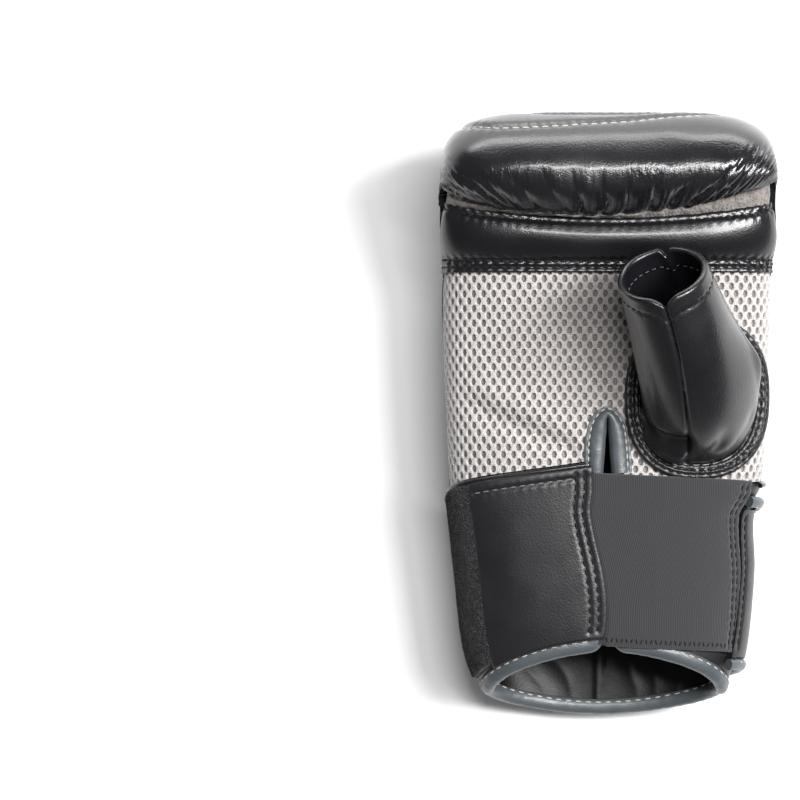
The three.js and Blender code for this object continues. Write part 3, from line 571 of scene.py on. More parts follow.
def ribbed(name, low, high, rib_mm, rough):
    """Woven elastic: rubber cores in rows under a matt polyester cover, so fine ribs run down it."""
    material, tree, shader = new_material(name, IOR=1.45, Roughness=rough, Specular_IOR_Level=0.25,
                                          Sheen_Weight=0.25, Sheen_Roughness=0.5)
    axes = add(tree, "SeparateXYZ", {0: add(tree, "UVMap", uv_map="UVMap")}).node.outputs
    waver = ranged(tree, noise(tree, add(tree, "TexCoord", pick="Object"), 900, 3.0), 0, 2.5)
    down, over = (maths(tree, "SINE", maths(tree, "ADD", maths(
        tree, "MULTIPLY", axes[k], 2 * math.pi * 100 / pitch), waver))
        for k, pitch in ((0, rib_mm), (1, rib_mm * 0.8)))
    both = maths(tree, "MULTIPLY_ADD", maths(tree, "MULTIPLY", down, over), 0.6, down)
    dress(tree, shader, Base_Color=mixed(tree, ranged(tree, both, 0, 1, -1.4, 1.4), low, high),
          Normal=bumped(tree, both, 0.5, 0.00022))
    return material


def moulded(name, low, high, printed):
    """Moulded rubber: matt with a fine grit. A plain frame is printed on it."""
    material, tree, shader = new_material(name, IOR=1.52, Roughness=0.62)
    axes = add(tree, "SeparateXYZ", {0: add(tree, "UVMap", uv_map="UVMap")}).node.outputs
    inset = [maths(tree, "SUBTRACT", half, maths(tree, "ABSOLUTE", maths(tree, "SUBTRACT", axis, half)))
             for axis, half in zip(axes, (PATCH_LENGTH / 200, PATCH_WIDTH / 200))]
    framed = maths(tree, "COMPARE", maths(tree, "MINIMUM", *inset), 0.052, 0.0055)
    place = add(tree, "TexCoord", pick="Object")
    dress(tree, shader, Base_Color=mixed(tree, framed, mottled(tree, place, 90, low, high), printed),
          Normal=bumped(tree, noise(tree, place, 1800), 0.3, 0.00012))
    return material


# Glossy black cowhide of the pad and the welt: a tight grain under a shining coat
SHELL_LEATHER = leather("finished_black_cowhide", "#0e0d11", "#17161a", 0.28, 0.7, 0.32, coat=0.3, crinkle=True)
# The band and the thumb have the same hide with a duller finish
PLAIN_LEATHER = leather("satin_black_cowhide", "#0b0a0d", "#141317", 0.33, 0.7, 0.3, coat=0.3, shine=0.4)
# The wrist's leather has a duller, softer pebble
WRIST_LEATHER = leather("pebbled_black_cowhide", "#101013", "#1b1b1e", 0.42, 0.7, 0.25, coat=0.05)
# Smooth black lining leather inside the cuff, coloured darker than the outer leather as painted shade inside
# the mouth
INNER_LEATHER = leather("black_lining_leather", "#060507", "#0b0a0c", 0.42, 0.9, 0.15, shine=0.25)
# Polyester spacer mesh of the palm, and its back layer seen through the holes, coloured darker than the face as
# painted shade down in the holes
MESH_FACE = fabric("grey_spacer_mesh", "#9c9794", "#e4e2e1", 0.42, 0.95, 0.9, 0.0, 0.0004)
MESH_BACK = fabric("spacer_mesh_back", "#6b625d", "#938984", 0.7, 0.95, 0.6, 0.1)
# Warp-knit lining: dull yarn with dark gaps
LINING_CLOTH = fabric("warp_knit_lining", "#3d3633", "#a29a95", 1.2, 0.9, 1.0, 0.3, 0.0006)
# Folded nylon tape with a satin face
TAPE = leather("grey_coated_tape", "#3d4347", "#4f5559", 0.42, 0.6, 0.3, coat=0.12)
# Woven elastic: charcoal, matt, with fine ribs
ELASTIC_CLOTH = ribbed("charcoal_woven_elastic", "#2a2a2b", "#3d3c3f", 0.7, 0.88)
# Brushed loop fabric of a touch fastener: black and without shine
LOOP_CLOTH = fabric("black_loop_fabric", "#121114", "#26252a", 0.9, 0.96, 0.9, 0.35, 0.0006)
# Moulded rubber of the patch
RUBBER = moulded("matt_moulded_rubber", "#1d1e20", "#27282b", "#d93a26")
# Bonded nylon sewing thread: its twist catches a little light
THREAD = {
    "cream": fabric("cream_bonded_nylon_thread", "#a39c90", "#c2bcb1", 0.3, 0.6, 0.6, 0.2),
    "black": fabric("black_bonded_nylon_thread", "#0e0e10", "#19191c", 0.3, 0.7, 0.6, 0.05),
    "grey": fabric("pale_grey_thread", "#58595c", "#7d7e81", 0.3, 0.6, 0.6, 0.2),
}
# Woven label tape: white and dull
TAB_TAPE = fabric("white_woven_tape", "#dedcd6", "#f0eee9", 0.5, 0.8, 0.6, 0.2)
SLOTS = {material.name: slot for slot, group in {
    "leather": [SHELL_LEATHER, PLAIN_LEATHER, WRIST_LEATHER], "mesh": [MESH_FACE, MESH_BACK],
    "lining": [LINING_CLOTH], "binding": [TAPE], "elastic": [ELASTIC_CLOTH], "loop": [LOOP_CLOTH],
    "rubber": [RUBBER], "tab": [TAB_TAPE]}.items() for material in group}

# ---- leather pad
turn_scan, at_scan = np.linspace(-90, 90, 1801), np.linspace(0, 1, 1001)
PAD_TURNS = sum(respaced(turn_scan, pad_point(turn_scan, at), 320) for at in (0.3, 0.8)) / 2
PAD_ATS = sum(respaced(at_scan, pad_point(turn, at_scan), 224) for turn in (0, 55)) / 2
# turn, at: each row of stitches runs up the back, over the fingers and down again
OUTER_ROW = [(-52.6, 0.015), (-52.6, 0.3), (-52.4, 0.45), (-50, 0.53), (-46.5, 0.59), (-43.5, 0.637),
             (-39, 0.667), (-34, 0.684), (-22.5, 0.688), (-10.5, 0.681), (3, 0.673), (14, 0.662), (25.5, 0.646),
             (32, 0.63), (37, 0.603), (40.5, 0.56), (42.3, 0.49), (42.3, 0.25), (42.3, 0.015)]
INNER_ROW = [(-31.8, 0.015), (-31.8, 0.3), (-31.8, 0.5), (-29, 0.57), (-24, 0.612), (-18, 0.626), (0, 0.63),
             (14, 0.626), (20, 0.606), (24, 0.55), (25.1, 0.49), (25.1, 0.25), (25.1, 0.015)]
ROW_TURNS = (-52.6, -31.8, 25.1, 42.3)


def turn_share(turn):
    return (turn + 90) / 180


def back_pad():
    pad = Surface(lambda u, v: pad_point(u * 180 - 90, v), 0, 0, u=turn_share(PAD_TURNS), v=PAD_ATS,
                  core=(0, 10, 40))
    turn, at = pad.grid_u * 180 - 90, pad.grid_v
    # broad softness of the foam, then creases across the back where it bends toward the fingers
    relief = 0.35 * clouds(turn / 24, at * 9, 11) + 0.12 * clouds(turn / 9, at * 24, 12)
    edges = sum(bump_at(turn, t, 8) for t in ROW_TURNS) + 0.8 * ramp(50, 70, np.abs(turn))
    bend = ramp(0.22, 0.34, at) * (1 - ramp(0.5, 0.62, at))
    fold = creases(at * 46 + 1.4 * clouds(turn / 14, at * 12, 14), 15, 0.6, 1.5)
    relief += 0.42 * (fold - 0.8) * bend * np.clip(edges, 0, 1)
    # gathers at the end seam: deep folds in the middle, narrow ones at the sides
    side = np.where(turn > 0, ramp(26, 52, turn), 0.75 * ramp(42, 64, -turn))
    slanted = turn * (1 + 2.0 * (at - 0.93)) + 1.8 * clouds(turn / 9, at * 13, 17)
    deep = creases(slanted, 18, 4.2, 9.0) ** 0.75 - 0.7
    narrow = creases(turn * (1 + 0.8 * (at - 0.93)) + 0.7 * clouds(turn / 7, at * 7, 20), 19, 1.8, 3.6) - 0.62
    begin = 0.79 - 0.17 * side + 0.03 * drift(slanted, 21, 5.0)
    strength = ramp(0, 0.13 + 0.05 * side, at - begin) * (1 - 0.5 * ramp(0.965, 1, at))
    uneven = 0.75 + 0.45 * drift(slanted, 22, 6.0)
    relief += strength * uneven * (3.1 * (1 - side) * deep + (0.45 + 0.5 * side) * narrow)
    pad.raise_by(relief)
    pad.find_normals()
    rows = [[(turn_share(t), a) for t, a in row] for row in (OUTER_ROW, INNER_ROW)]
    for row in rows:
        pad.press(row, 1.5, 2.1, pucker=0.16, spread=2.6)
    # the end seam sits on the band at the middle and stands off at the thumb's corner
    pad.points[..., 1] += ramp(0.88, 1, at) * (2.2 * bump_at(turn, 55, 20) - 1.5 * bump_at(turn, -4, 34))
    # it lies flat where it rests
    pad.points[..., 2] -= np.maximum(0, 1 - pad.points[..., 2] / SETTLE_HEIGHT) * SETTLE
    pad.points[..., 2] = np.maximum(pad.points[..., 2], 0)
    pad.find_normals()
    inner = pad_point(PAD_TURNS[None, ::4], PAD_ATS[::4, None], inner=True)
    piece = shell("back_pad_leather", pad.points, inner, SHELL_LEATHER, "back_pad", stride=4)
    mask = bump_at(at, 0.835, 0.05) * (0.6 + 0.5 * clouds(turn / 12, at * 10, 25)) * (1 - side)
    values = np.zeros(len(piece.data.vertices), np.float32)
    values[:mask.size] = np.clip(mask, 0, 1).ravel()
    piece.data.attributes.new("crinkle", "FLOAT", "POINT").data.foreach_set("value", values)
    for row in rows:
        sew(pad, row, "cream", length=2.9, lift=0.28)
    return pad


pad = back_pad()

# ---- palm mesh: turns against lengths round the palm, one row for each millimetre of its length
PALM_LOW, PALM_HIGH, PALM_SIDE = -32, 62, 96
palm_turns, palm_ys = np.linspace(-92, 92, 369), np.linspace(PALM_LOW, PALM_HIGH, 95)
palm_run = np.array([run_of(row) for row in on_hull(palm_turns[None], palm_ys[:, None])])
palm_run -= palm_run[:, 184:185]
palm_s = np.linspace(-PALM_SIDE, PALM_SIDE, 385)
palm_inverse = np.array([np.interp(palm_s, run, palm_turns) for run in palm_run])


def palm_turn(s, y):
    """Turn of a point that lies s mm round the palm from the middle line."""
    i = np.clip(y - PALM_LOW, 0, len(palm_ys) - 1.001)
    j = np.clip((s + PALM_SIDE) * 2, 0, len(palm_s) - 1.001)
    i0, j0 = i.astype(int), j.astype(int)
    a, b, t = i - i0, j - j0, palm_inverse
    return np.clip((1 - a) * ((1 - b) * t[i0, j0] + b * t[i0, j0 + 1])
                   + a * ((1 - b) * t[i0 + 1, j0] + b * t[i0 + 1, j0 + 1]), -90, 90)


def round_palm(outline):
    """Outline in x and y, laid out by how far round the palm it lies."""
    x, y = outline.T
    rows = np.clip(np.round(y - PALM_LOW).astype(int), 0, len(palm_ys) - 1)
    s = [np.interp(t, palm_turns, palm_run[r]) for t, r in zip(turn_at(x, y), rows)]
    return np.stack([s, y], 1)


def palm_relief(x, y):
    """Soft waves of the mesh, and the fold from the little-finger side to the slit."""
    wave = 0.5 * clouds(x + 200, y + 200, 31, 22) + 0.2 * clouds(x + 200, y + 200, 32, 9)
    away = (y - 1.2) + 0.437 * (x + 46)   # distance from the fold's line
    fold = -2.0 * bump_at(away, 0, 4.4) + 1.0 * bump_at(away, 8, 5)
    inside = ramp(-60, -46, x) * (1 - ramp(-16, -8, x))
    return (wave + fold * inside) * (1 - ramp(52, 61, np.abs(x))) * (1 - ramp(48, 57, y))


def foot_place(angle, grow):
    across, up = bow(90 - angle, FOOT_ROUND)
    return THUMB_X + (FOOT_X + grow) * across, THUMB_Y + (FOOT_Y + grow) * up


# across, down: shares of the slit's half width and of its length
SLIT = np.array([(-1.14, 0.86), (-1.12, 0.63), (-1.1, 0.4), (-0.8, 0.14), (0, 0), (0.8, 0.15), (1.1, 0.42),
                 (1.2, 0.7), (1.25, 0.88)])
slit_steps = np.linalg.norm(np.diff(SLIT * [SLIT_HALF, SLIT_LENGTH], axis=0), axis=1) ** 0.5
slit_knots = np.concatenate([[0], np.cumsum(slit_steps)])
slit_curves = [curve(slit_knots, column) for column in SLIT.T]


def slit_line(count):
    t = np.linspace(0, slit_knots[-1], count)
    across, down = (c(t) for c in slit_curves)
    return np.stack([SLIT_X + across * SLIT_HALF, SLIT_TOP - down * SLIT_LENGTH], 1)


def inside_outline(points, outline):
    x, y = points[:, :1], points[:, 1:]
    x0, y0 = outline.T
    x1, y1 = np.roll(outline, -1, axis=0).T
    crosses = ((y0 > y) != (y1 > y)) & (x < (x1 - x0) * (y - y0) / np.where(y1 == y0, 1e-9, y1 - y0) + x0)
    return crosses.sum(1) % 2 == 1


def pushed_out(points, outline):
    """Points inside an outline move to its nearest place."""
    moved = points.copy()
    for k in np.where(inside_outline(points, outline))[0]:
        moved[k] = outline[np.argmin(((outline - points[k]) ** 2).sum(1))]
    return moved


def dense(outline):
    closed = np.vstack([outline, outline[:1]])
    run = run_of(closed)
    s = np.arange(0, run[-1], 0.25)
    return np.stack([np.interp(s, run, closed[:, k]) for k in (0, 1)], 1)


slit_points = slit_line(60)
HOLES = [dense(round_palm(outline)) for outline in (
    np.stack(foot_place(np.linspace(0, 360, 91)[:-1], -2.2), 1),
    np.vstack([slit_points, [[slit_points[-1, 0], -45], [slit_points[0, 0], -45]]]))]


def open_cell():
    """One cell of the mesh round its hole, flat, with a rolled edge to the hole."""
    w, h = HOLE_PITCH / 2, ROW_PITCH / 2
    border = np.array([(w, 0), (w, h), (w / 2, h), (0, h), (-w / 2, h), (-w, h)])
    border = np.vstack([border, -border])
    angle = np.arctan2(border[:, 1] / h, border[:, 0] / w)
    hole = np.stack([np.cos(angle) * HOLE_WIDTH / 2, np.sin(angle) * HOLE_HEIGHT / 2], 1)
    levels = [(border, -0.12), (hole * 1.3, 0.0), (hole * 1.06, -0.2), (hole, -0.45), (hole * 0.95, -1.1)]
    points = [(x, y, z) for ring, z in levels for x, y in ring]
    faces = [(a * 12 + k, a * 12 + (k + 1) % 12, (a + 1) * 12 + (k + 1) % 12, (a + 1) * 12 + k)
             for a in range(len(levels) - 1) for k in range(12)]
    mesh = bpy.data.meshes.new("cell")
    mesh.from_pydata(points, [], faces)
    return placed("cell", mesh)


def node_group(name, *inputs):
    """A tree with the named inputs. Returns it and its inputs' outlets."""
    tree = bpy.data.node_groups.new(name, "GeometryNodeTree")
    for label, kind, *value in (("Geometry", "Geometry"), *inputs):
        made = tree.interface.new_socket(label, in_out="INPUT", socket_type="NodeSocket" + kind)
        if value:
            made.default_value = value[0]
    tree.interface.new_socket("Geometry", in_out="OUTPUT", socket_type="NodeSocketGeometry")
    return tree, tree.nodes.new("NodeGroupInput").outputs


def ended(tree, geometry, material):
    clad = add(tree, "SetMaterial", {"Geometry": geometry, "Material": material})
    tree.links.new(clad, tree.nodes.new("NodeGroupOutput").inputs[0])
    return tree


def grown(carrier, tree, **values):
    """The plain mesh that a tree makes from a carrier object, which is then removed."""
    modifier = carrier.modifiers.new("grow", "NODES")
    modifier.node_group = tree
    sockets = {s.name: s.identifier for s in tree.interface.items_tree if s.in_out == "INPUT"}
    for label, value in values.items():
        modifier[sockets[label]] = value
    bpy.context.view_layer.update()
    graph = bpy.context.evaluated_depsgraph_get()
    mesh = bpy.data.meshes.new_from_object(carrier.evaluated_get(graph))
    bpy.data.objects.remove(carrier)
    return mesh


def points_object(name, places, **vectors):
    mesh = bpy.data.meshes.new(name)
    mesh.from_pydata(np.asarray(places).tolist(), [], [])
    for key, value in vectors.items():
        layer = mesh.attributes.new(key, "FLOAT_VECTOR", "POINT")
        layer.data.foreach_set("vector", np.asarray(value, np.float32).ravel())
    return placed(name, mesh)


def cell_tree():
    tree, given = node_group("mesh_cells", ("Cell", "Object"), ("Cloth", "Material"), ("Weld", "Float", 0.02))
    cell = add(tree, "ObjectInfo", {"Object": given["Cell"]}, "Geometry")
    spots = add(tree, "InstanceOnPoints", {"Points": given["Geometry"], "Instance": cell})
    real = add(tree, "RealizeInstances", {"Geometry": spots})
    weld = add(tree, "MergeByDistance", {"Geometry": real, "Distance": given["Weld"]})
    return ended(tree, weld, given["Cloth"])


def palm_face():
    """Spacer mesh: cells round every hole, welded, then bent onto the hull."""
    rows = np.arange(math.floor(CELLS_LOW / ROW_PITCH), math.ceil(CELLS_HIGH / ROW_PITCH) + 1)
    columns = np.arange(math.floor(-CELLS_SIDE / HOLE_PITCH) - 1, math.ceil(CELLS_SIDE / HOLE_PITCH) + 1)
    centres = np.array([((c + 0.5 * (r % 2)) * HOLE_PITCH, r * ROW_PITCH) for r in rows for c in columns])
    s, y = centres.T
    turn = palm_turn(s, y)
    keep = (np.abs(turn) < 89.5) & (y > seam_y(turn) - 1.2) & (y < BAND_START)
    for hole in HOLES:
        keep &= ~inside_outline(centres, hole)
    cell, kept = open_cell(), centres[keep]
    carrier = points_object("centres", np.column_stack([kept, np.zeros(len(kept))]))
    mesh = grown(carrier, cell_tree(), Cell=cell, Cloth=MESH_FACE)
    bpy.data.objects.remove(cell)
    flat = np.zeros(len(mesh.vertices) * 3, np.float32)
    mesh.vertices.foreach_get("co", flat)
    faces = [list(p.vertices) for p in mesh.polygons]
    bpy.data.meshes.remove(mesh)
    flat = flat.reshape(-1, 3).astype(float)
    s, y = pushed_out(pushed_out(flat[:, :2], HOLES[0]), HOLES[1]).T
    turn = palm_turn(s, y)
    y = np.clip(y, seam_y(turn) + SEAM_GAP, BAND_START - SEAM_GAP)
    x = on_hull(turn, y)[:, 0]
    bent = hull_point(turn, y, flat[:, 2] + palm_relief(x, y)) + [0, 0, SEAM_GAP]
    return finished("palm_mesh_face", bent, faces, MESH_FACE, "palm_mesh", closed=False, sharp=60)


def palm_back():
    """The mesh's inner layer, with the thumb hole and the slit left open."""
    def place(u, v):
        turn = u * 180 - 90
        return hull_point(turn, seam_y(turn) + SEAM_GAP + v * (BAND_START - 2 * SEAM_GAP - seam_y(turn)), 0)
    backing = Surface(place, 70, 110)
    x, y = backing.points[..., 0], backing.points[..., 1]
    flat = round_palm(np.stack([x.ravel(), y.ravel()], 1))
    shut = ~(inside_outline(flat, HOLES[0]) | inside_outline(flat, HOLES[1])).reshape(x.shape)
    relief = palm_relief(x, y)
    points = np.stack([backing.points + backing.normals * (relief - lift)[..., None] + [0, 0, SEAM_GAP]
                       for lift in (1.3, 2.2)])
    top = numbered(*x.shape)
    whole = (shut[:-1, :-1] & shut[:-1, 1:] & shut[1:, :-1] & shut[1:, 1:]).ravel()
    up, down = quads(top)[whole], np.roll(quads(top + top.size)[whole][:, ::-1], 1, axis=1)
    faces = np.stack([up, down], 1).reshape(-1, 4)
    # the back layer's darker colour is painted shade in the mesh's holes
    return finished("palm_mesh_back", points, faces, MESH_BACK, closed=False)


palm_face_piece, palm_back_piece = palm_face(), palm_back()


# ---- finger band and lining
def sheets(place, rows, columns, *lifts, **more):
    """Surfaces over one outline on the hull, one for each lift. place(u, v) gives turn and y."""
    def raised(lift):
        return lambda u, v: hull_point(*place(u, v), lift(u, v) if callable(lift) else lift)
    return [Surface(raised(lift), rows, columns, **more) for lift in lifts]


def soften(surface, amount, across, along, seed):
    surface.raise_by(amount * clouds(surface.grid_u * across, surface.grid_v * along, seed))


def stitched(surface, *seams):
    """Sinks seams into a surface, then sews them. A seam is its path, its dent and its stitches."""
    for path, dent, _ in seams:
        surface.press(path, *dent)
    surface.find_normals()
    for path, _, thread in seams:
        sew(surface, path, *thread)


def finger_band():
    def place(u, v):
        turn = (2 * u - 1) * BAND_REACH
        return turn, HEM_START + v * (band_top(turn) - HEM_START)

    def roll(u, v):
        swell = np.sin(np.pi * np.clip((v - 0.24) / 0.76, 0, 1)) ** 0.85
        ends = np.sin(np.pi * np.clip(u * 0.98 + 0.01, 0, 1)) ** 0.6
        return 1.5 + (0.2 + 3.4 * swell * ends) - 0.9 * (1 - ends)

    def row(margin, v, middle):
        return [(margin, v), (0.5, middle), (1 - margin, v)]
    band, under = sheets(place, 84, 240, roll, lambda u, v: 0.75 - 2.4 * ramp(0.14, 0.3, v))
    soften(band, 0.25, 9, 2, 41)
    for k, v in enumerate((0.075, 0.185)):
        band.press(row(0.005, v, v), 0.65, 0.85, pucker=0.2, spread=1.5, seed=43 + k)
    band.press(row(0.01, 0.95, 0.945), 0.6, 1.1, pucker=0.14, spread=2.0, seed=46)
    band.find_normals()
    for surface in (band, under):
        surface.points = surface.points + [0, 0, 2 * SEAM_GAP]
    walled("finger_band_leather", band, under, PLAIN_LEATHER, "finger_band")
    for v in (0.075, 0.185):
        sew(band, row(0.01, v, v), "black", length=2.5, width=0.95, pitch=3.3, lift=0.15)
    sew(band, row(0.02, 0.95, 0.945), "black", length=1.9, width=0.75, pitch=2.9, lift=0.2)


def finger_lining():
    """Mesh lining that shows between the band and the gathered leather."""
    def place(u, v):
        turn = (2 * u - 1) * LINING_REACH
        start = hull_point(turn, band_top(turn) + 0.1, LAYER_GAP)
        far = pad.at(turn_share(turn).ravel(), np.ones(turn.size))[0].reshape(start.shape) + [0, 0, 1.0]
        crown = [0, 0, 1.2] * np.sin(np.pi * v)[..., None]
        return start + (far - start) * v[..., None] + [0, 0, 2 * SEAM_GAP] + crown
    lining, inner = Surface(place, 10, 200), Surface(place, 10, 200)
    soften(lining, 0.25, 60, 2, 51)
    inner.points = lining.points - lining.normals * LINING_WALL
    return walled("finger_lining_mesh", lining, inner, LINING_CLOTH, "finger_lining")


finger_band()
lining_piece = finger_lining()

# ---- thumb stall
STALL_RUN = np.array([-0.28, 0.715, 0.64]) * STALL_LENGTH
# at, x, y, z, blend, tilt, yaw, elbow
STALL = np.array([
    (0.0, 0.0, 0.0, 0.03, 0, 0, 0, 0),
    (0.15, 0.0, 0.0, 0.16, 0.08, 2, 1, 0.3),
    (0.4, 0.26, 0.28, 0.44, 0.3, 28, 8, 1),
    (0.7, 0.62, 0.64, 0.76, 0.72, 45, 14, 0.35),
    (1.0, 1.0, 1.0, 1.0, 1, 54, 18, 0),
])
STALL_CURVES = [curve(STALL[:, 0], column) for column in STALL.T[1:]]
# height, width, then its path of angle and share of the length: folds where the stall bends up from its foot
PINCHES = [
    (-3.4, 2.2, [(194, 0.1), (212, 0.16), (232, 0.22), (254, 0.27)]),
    (2.2, 2.8, [(214, 0.07), (232, 0.12), (250, 0.17)]),
    (-1.5, 3.0, [(258, 0.16), (276, 0.19), (292, 0.25)]),
    (-0.8, 3.2, [(268, 0.1), (300, 0.13), (330, 0.2)]),
]


def stall_point(angle, at, inset):
    x, y, z, blend, tilt, yaw, elbow = [c(at) for c in STALL_CURVES]
    a, tilt, yaw = np.radians(angle), np.radians(tilt), np.radians(yaw)
    foot_x, foot_y = foot_place(angle, -inset)
    foot = hull_point(turn_at(foot_x, foot_y), foot_y, LAYER_GAP + 2 * SEAM_GAP)
    middle = np.stack([THUMB_X + STALL_RUN[0] * x, THUMB_Y + STALL_RUN[1] * y,
                       PALM_HEIGHT * FOOT_HEIGHT + STALL_RUN[2] * z], -1)
    bump = ELBOW * elbow * np.maximum(0, np.cos(a)) ** 6
    ru = FOOT_X + (RIM_RADIUS - FOOT_X) * blend - inset + bump
    rv = FOOT_Y + (RIM_RADIUS - FOOT_Y) * blend - inset
    right = np.stack([np.cos(yaw), np.sin(yaw), 0 * yaw], -1)
    ahead = np.stack([-np.sin(yaw) * np.cos(tilt), np.cos(yaw) * np.cos(tilt), -np.sin(tilt)], -1)
    free = middle + right * (ru * np.cos(a))[..., None] + ahead * (rv * np.sin(a))[..., None]
    return foot + (free - foot) * ramp(0, 0.2, at)[..., None]


def round_from(angle, middle):
    return (angle - middle + 180) % 360 - 180


def thumb_stall():
    def rim(angle):
        """The open end dips at both seams."""
        front, rear = round_from(angle, FRONT_SEAM), round_from(angle, REAR_SEAM)
        return 1 - 0.035 * bump_at(front, 0, 12) - 0.015 * bump_at(front, 0, 3) - 0.05 * bump_at(rear, 0, 4.5)

    def stall(inset):
        return Surface(lambda u, v: stall_point(u * 360, v * rim(u * 360), inset), 130, 190, wrap=True,
                       core=(None, None, None))

    def pinch(points, width):
        knots, share = np.linspace(0, 1, len(points)), np.linspace(0, 1, 60)
        path = zip(*(np.interp(share, knots, column) for column in np.array(points, float).T))
        away = np.min([np.hypot((angle - a) * 0.38, (at - t) * STALL_SPAN) for a, t in path], axis=0)
        return bump_at(away, 0, width)
    tube, inner = stall(0), stall(STALL_WALL)
    angle, at = tube.grid_u * 360, tube.grid_v
    relief = 0.3 * clouds(angle / 40, at * 3, 61)
    for height, width, points in PINCHES:
        relief += height * pinch(points, width)
    relief += 2.0 * bump_at(round_from(angle, 0), 2, 8) * bump_at(at, 0.34, 0.1)
    relief *= ramp(0.0, 0.06, at)
    tube.raise_by(relief)
    front, rear = FRONT_SEAM / 360, REAR_SEAM / 360
    tube.press([(front, 0.0), (0.712, 0.2), (0.706, 0.45), (0.71, 0.75), (front, 1.0)], 1.3, 0.75)
    tube.press([(rear, 0.0), (rear, 1.0)], 1.2, 0.9)
    hem = [(0.0, 0.94), (0.25, 0.935), (0.5, 0.94), (0.7, 0.93), (0.72, 0.93), (1.0, 0.94)]
    tube.press(hem, 0.35, 0.7, pucker=0.07, spread=1.2)
    tube.find_normals()
    inner.raise_by(relief * (1 - ramp(0.85, 1, at)))
    inner.raise_by(-0.6 * bump_at(angle, REAR_SEAM, 7) - 0.5 * ramp(0.88, 0.9, at))
    o, n = lip(tube.points, inner.points, 0, "end", steps=5)
    shell("thumb_stall_leather", o, n, PLAIN_LEATHER, "thumb_stall", wrap=True, sharp=65)
    sew(tube, hem, "black", length=2.0, width=0.6, pitch=2.9)
    inner.normals = -inner.normals
    inside_hem = [(0.0, 0.9), (0.25, 0.89), (0.5, 0.9), (0.7, 0.89), (1.0, 0.9)]
    sew(inner, inside_hem, "grey", length=1.7, width=0.3, pitch=2.9, lift=0.06)


thumb_stall()


def thumb_patch():
    """Leather ring round the stall's foot, sewn down twice."""
    def place(u, v):
        x, y = foot_place(u * 360, RING_NEAR + (RING_FAR - RING_NEAR) * v)
        y = np.maximum(y, ELASTIC_TOP - 2)
        return turn_at(x, y), y
    top, under = sheets(place, 14, 420, lambda u, v: RING_TOP + 0.5 * np.sin(np.pi * v) + SEAM_GAP,
                        LAYER_GAP + 0.2 + SEAM_GAP, wrap=True)
    stitched(top, *(([(0.0, v), (0.3, v), (0.6, v), (1.0, v)], (0.6, 0.6, 0.2, 1.1, seed),
                     ("black", 2.2, 0.85, 3.1, 0.16)) for v, seed in ((0.22, 71), (0.72, 72))))
    walled("thumb_ring_leather", top, under, WRIST_LEATHER, "thumb_patch", wrap=True, steps=2)


thumb_patch()


# ---- slit binding
def slit_binding():
    """Tape folded over the slit's edge: two lobes that meet in a point at the top."""
    count = 120
    line = slit_line(count)
    run = unit(np.gradient(line, axis=0))
    out = np.stack([-run[:, 1], run[:, 0]], 1)
    out *= np.sign((out * (line - [SLIT_X, -30])).sum(1, keepdims=True))
    side = np.linspace(-1, 1, count)
    gap = np.sign(side) * (0.12 + 1.5 * np.abs(side) ** 1.1)
    middle = np.stack([SLIT_X + gap, SLIT_TOP - 1.2 - np.abs(side) * (SLIT_LENGTH * 0.86)], 1)

    def place(u, v):
        a, b = (np.stack([np.interp(v, np.linspace(0, 1, count), edge[:, k]) for k in (0, 1)], -1)
                for edge in (line + out * SLIT_EDGE, middle))
        x, y = np.moveaxis(a + (b - a) * u[..., None], -1, 0)
        return turn_at(x, y), y

    def plump(u, v):
        """Flat where it is sewn, plump at the fold."""
        fold = np.sin(np.pi * np.clip((u - 0.2) / 0.8, 0, 1)) ** 0.9
        return 0.5 + 0.3 * ramp(0, 0.1, u) + 1.25 * fold - 0.7 * ramp(0.85, 1, u)
    top, under = sheets(place, 160, 26, plump, -1.5, core=(SLIT_X, -12, 40))
    soften(top, 0.12, 2, 16, 75)
    seam = [(0.2, 0.01), (0.2, 0.3), (0.19, 0.5), (0.2, 0.7), (0.2, 0.99)]
    stitched(top, (seam, (0.3, 0.6, 0.08, 1.0), ("cream", 2.0, 0.7, 2.9, 0.2)))
    shell("slit_binding_tape", top.points, under.points, TAPE, "slit_binding")


slit_binding()


# ---- cuff
def cuff():
    span = 360 - 2 * FLAP_GAP

    def place(u, v):
        turn = FLAP_GAP + u * span
        seam = seam_y(turn) - SEAM_GAP
        return turn, seam + v * (mouth_y(turn) - seam)
    outer, inner = sheets(place, 70, 300, 0, -CUFF_WALL)
    turn, v = FLAP_GAP + outer.grid_u * span, outer.grid_v
    outer.raise_by(0.15 * clouds(turn / 20, v * 3, 81))
    # lining: loose pleats that run into the mouth, with a seam down the middle of the back
    pleats = creases(turn + 9 * clouds(v * 4, turn / 26, 83), 84, 9, 22) - 0.7
    loose = bump_at(turn, 180, 48) * ramp(0.3, 0.7, v) * (1 - 0.5 * ramp(0.92, 1, v))
    inner.raise_by(0.8 * pleats * loose)
    inner.press([(0.5, 0.1), (0.5, 0.5), (0.505, 1.0)], 0.7, 0.9)
    piece = walled("cuff_leather", outer, inner, WRIST_LEATHER, "cuff", ends=False)
    # the lining material's extra darkness is painted shade inside the mouth
    piece.data.materials.append(INNER_LEATHER)
    for p in piece.data.polygons:   # faces that look inward are lining
        x, _, z = np.array(p.center) * 1000 - TO_FRAME
        if np.dot(np.array(p.normal), [x, 0, z - CUFF_MIDDLE]) < 0:
            p.material_index = 1


cuff()


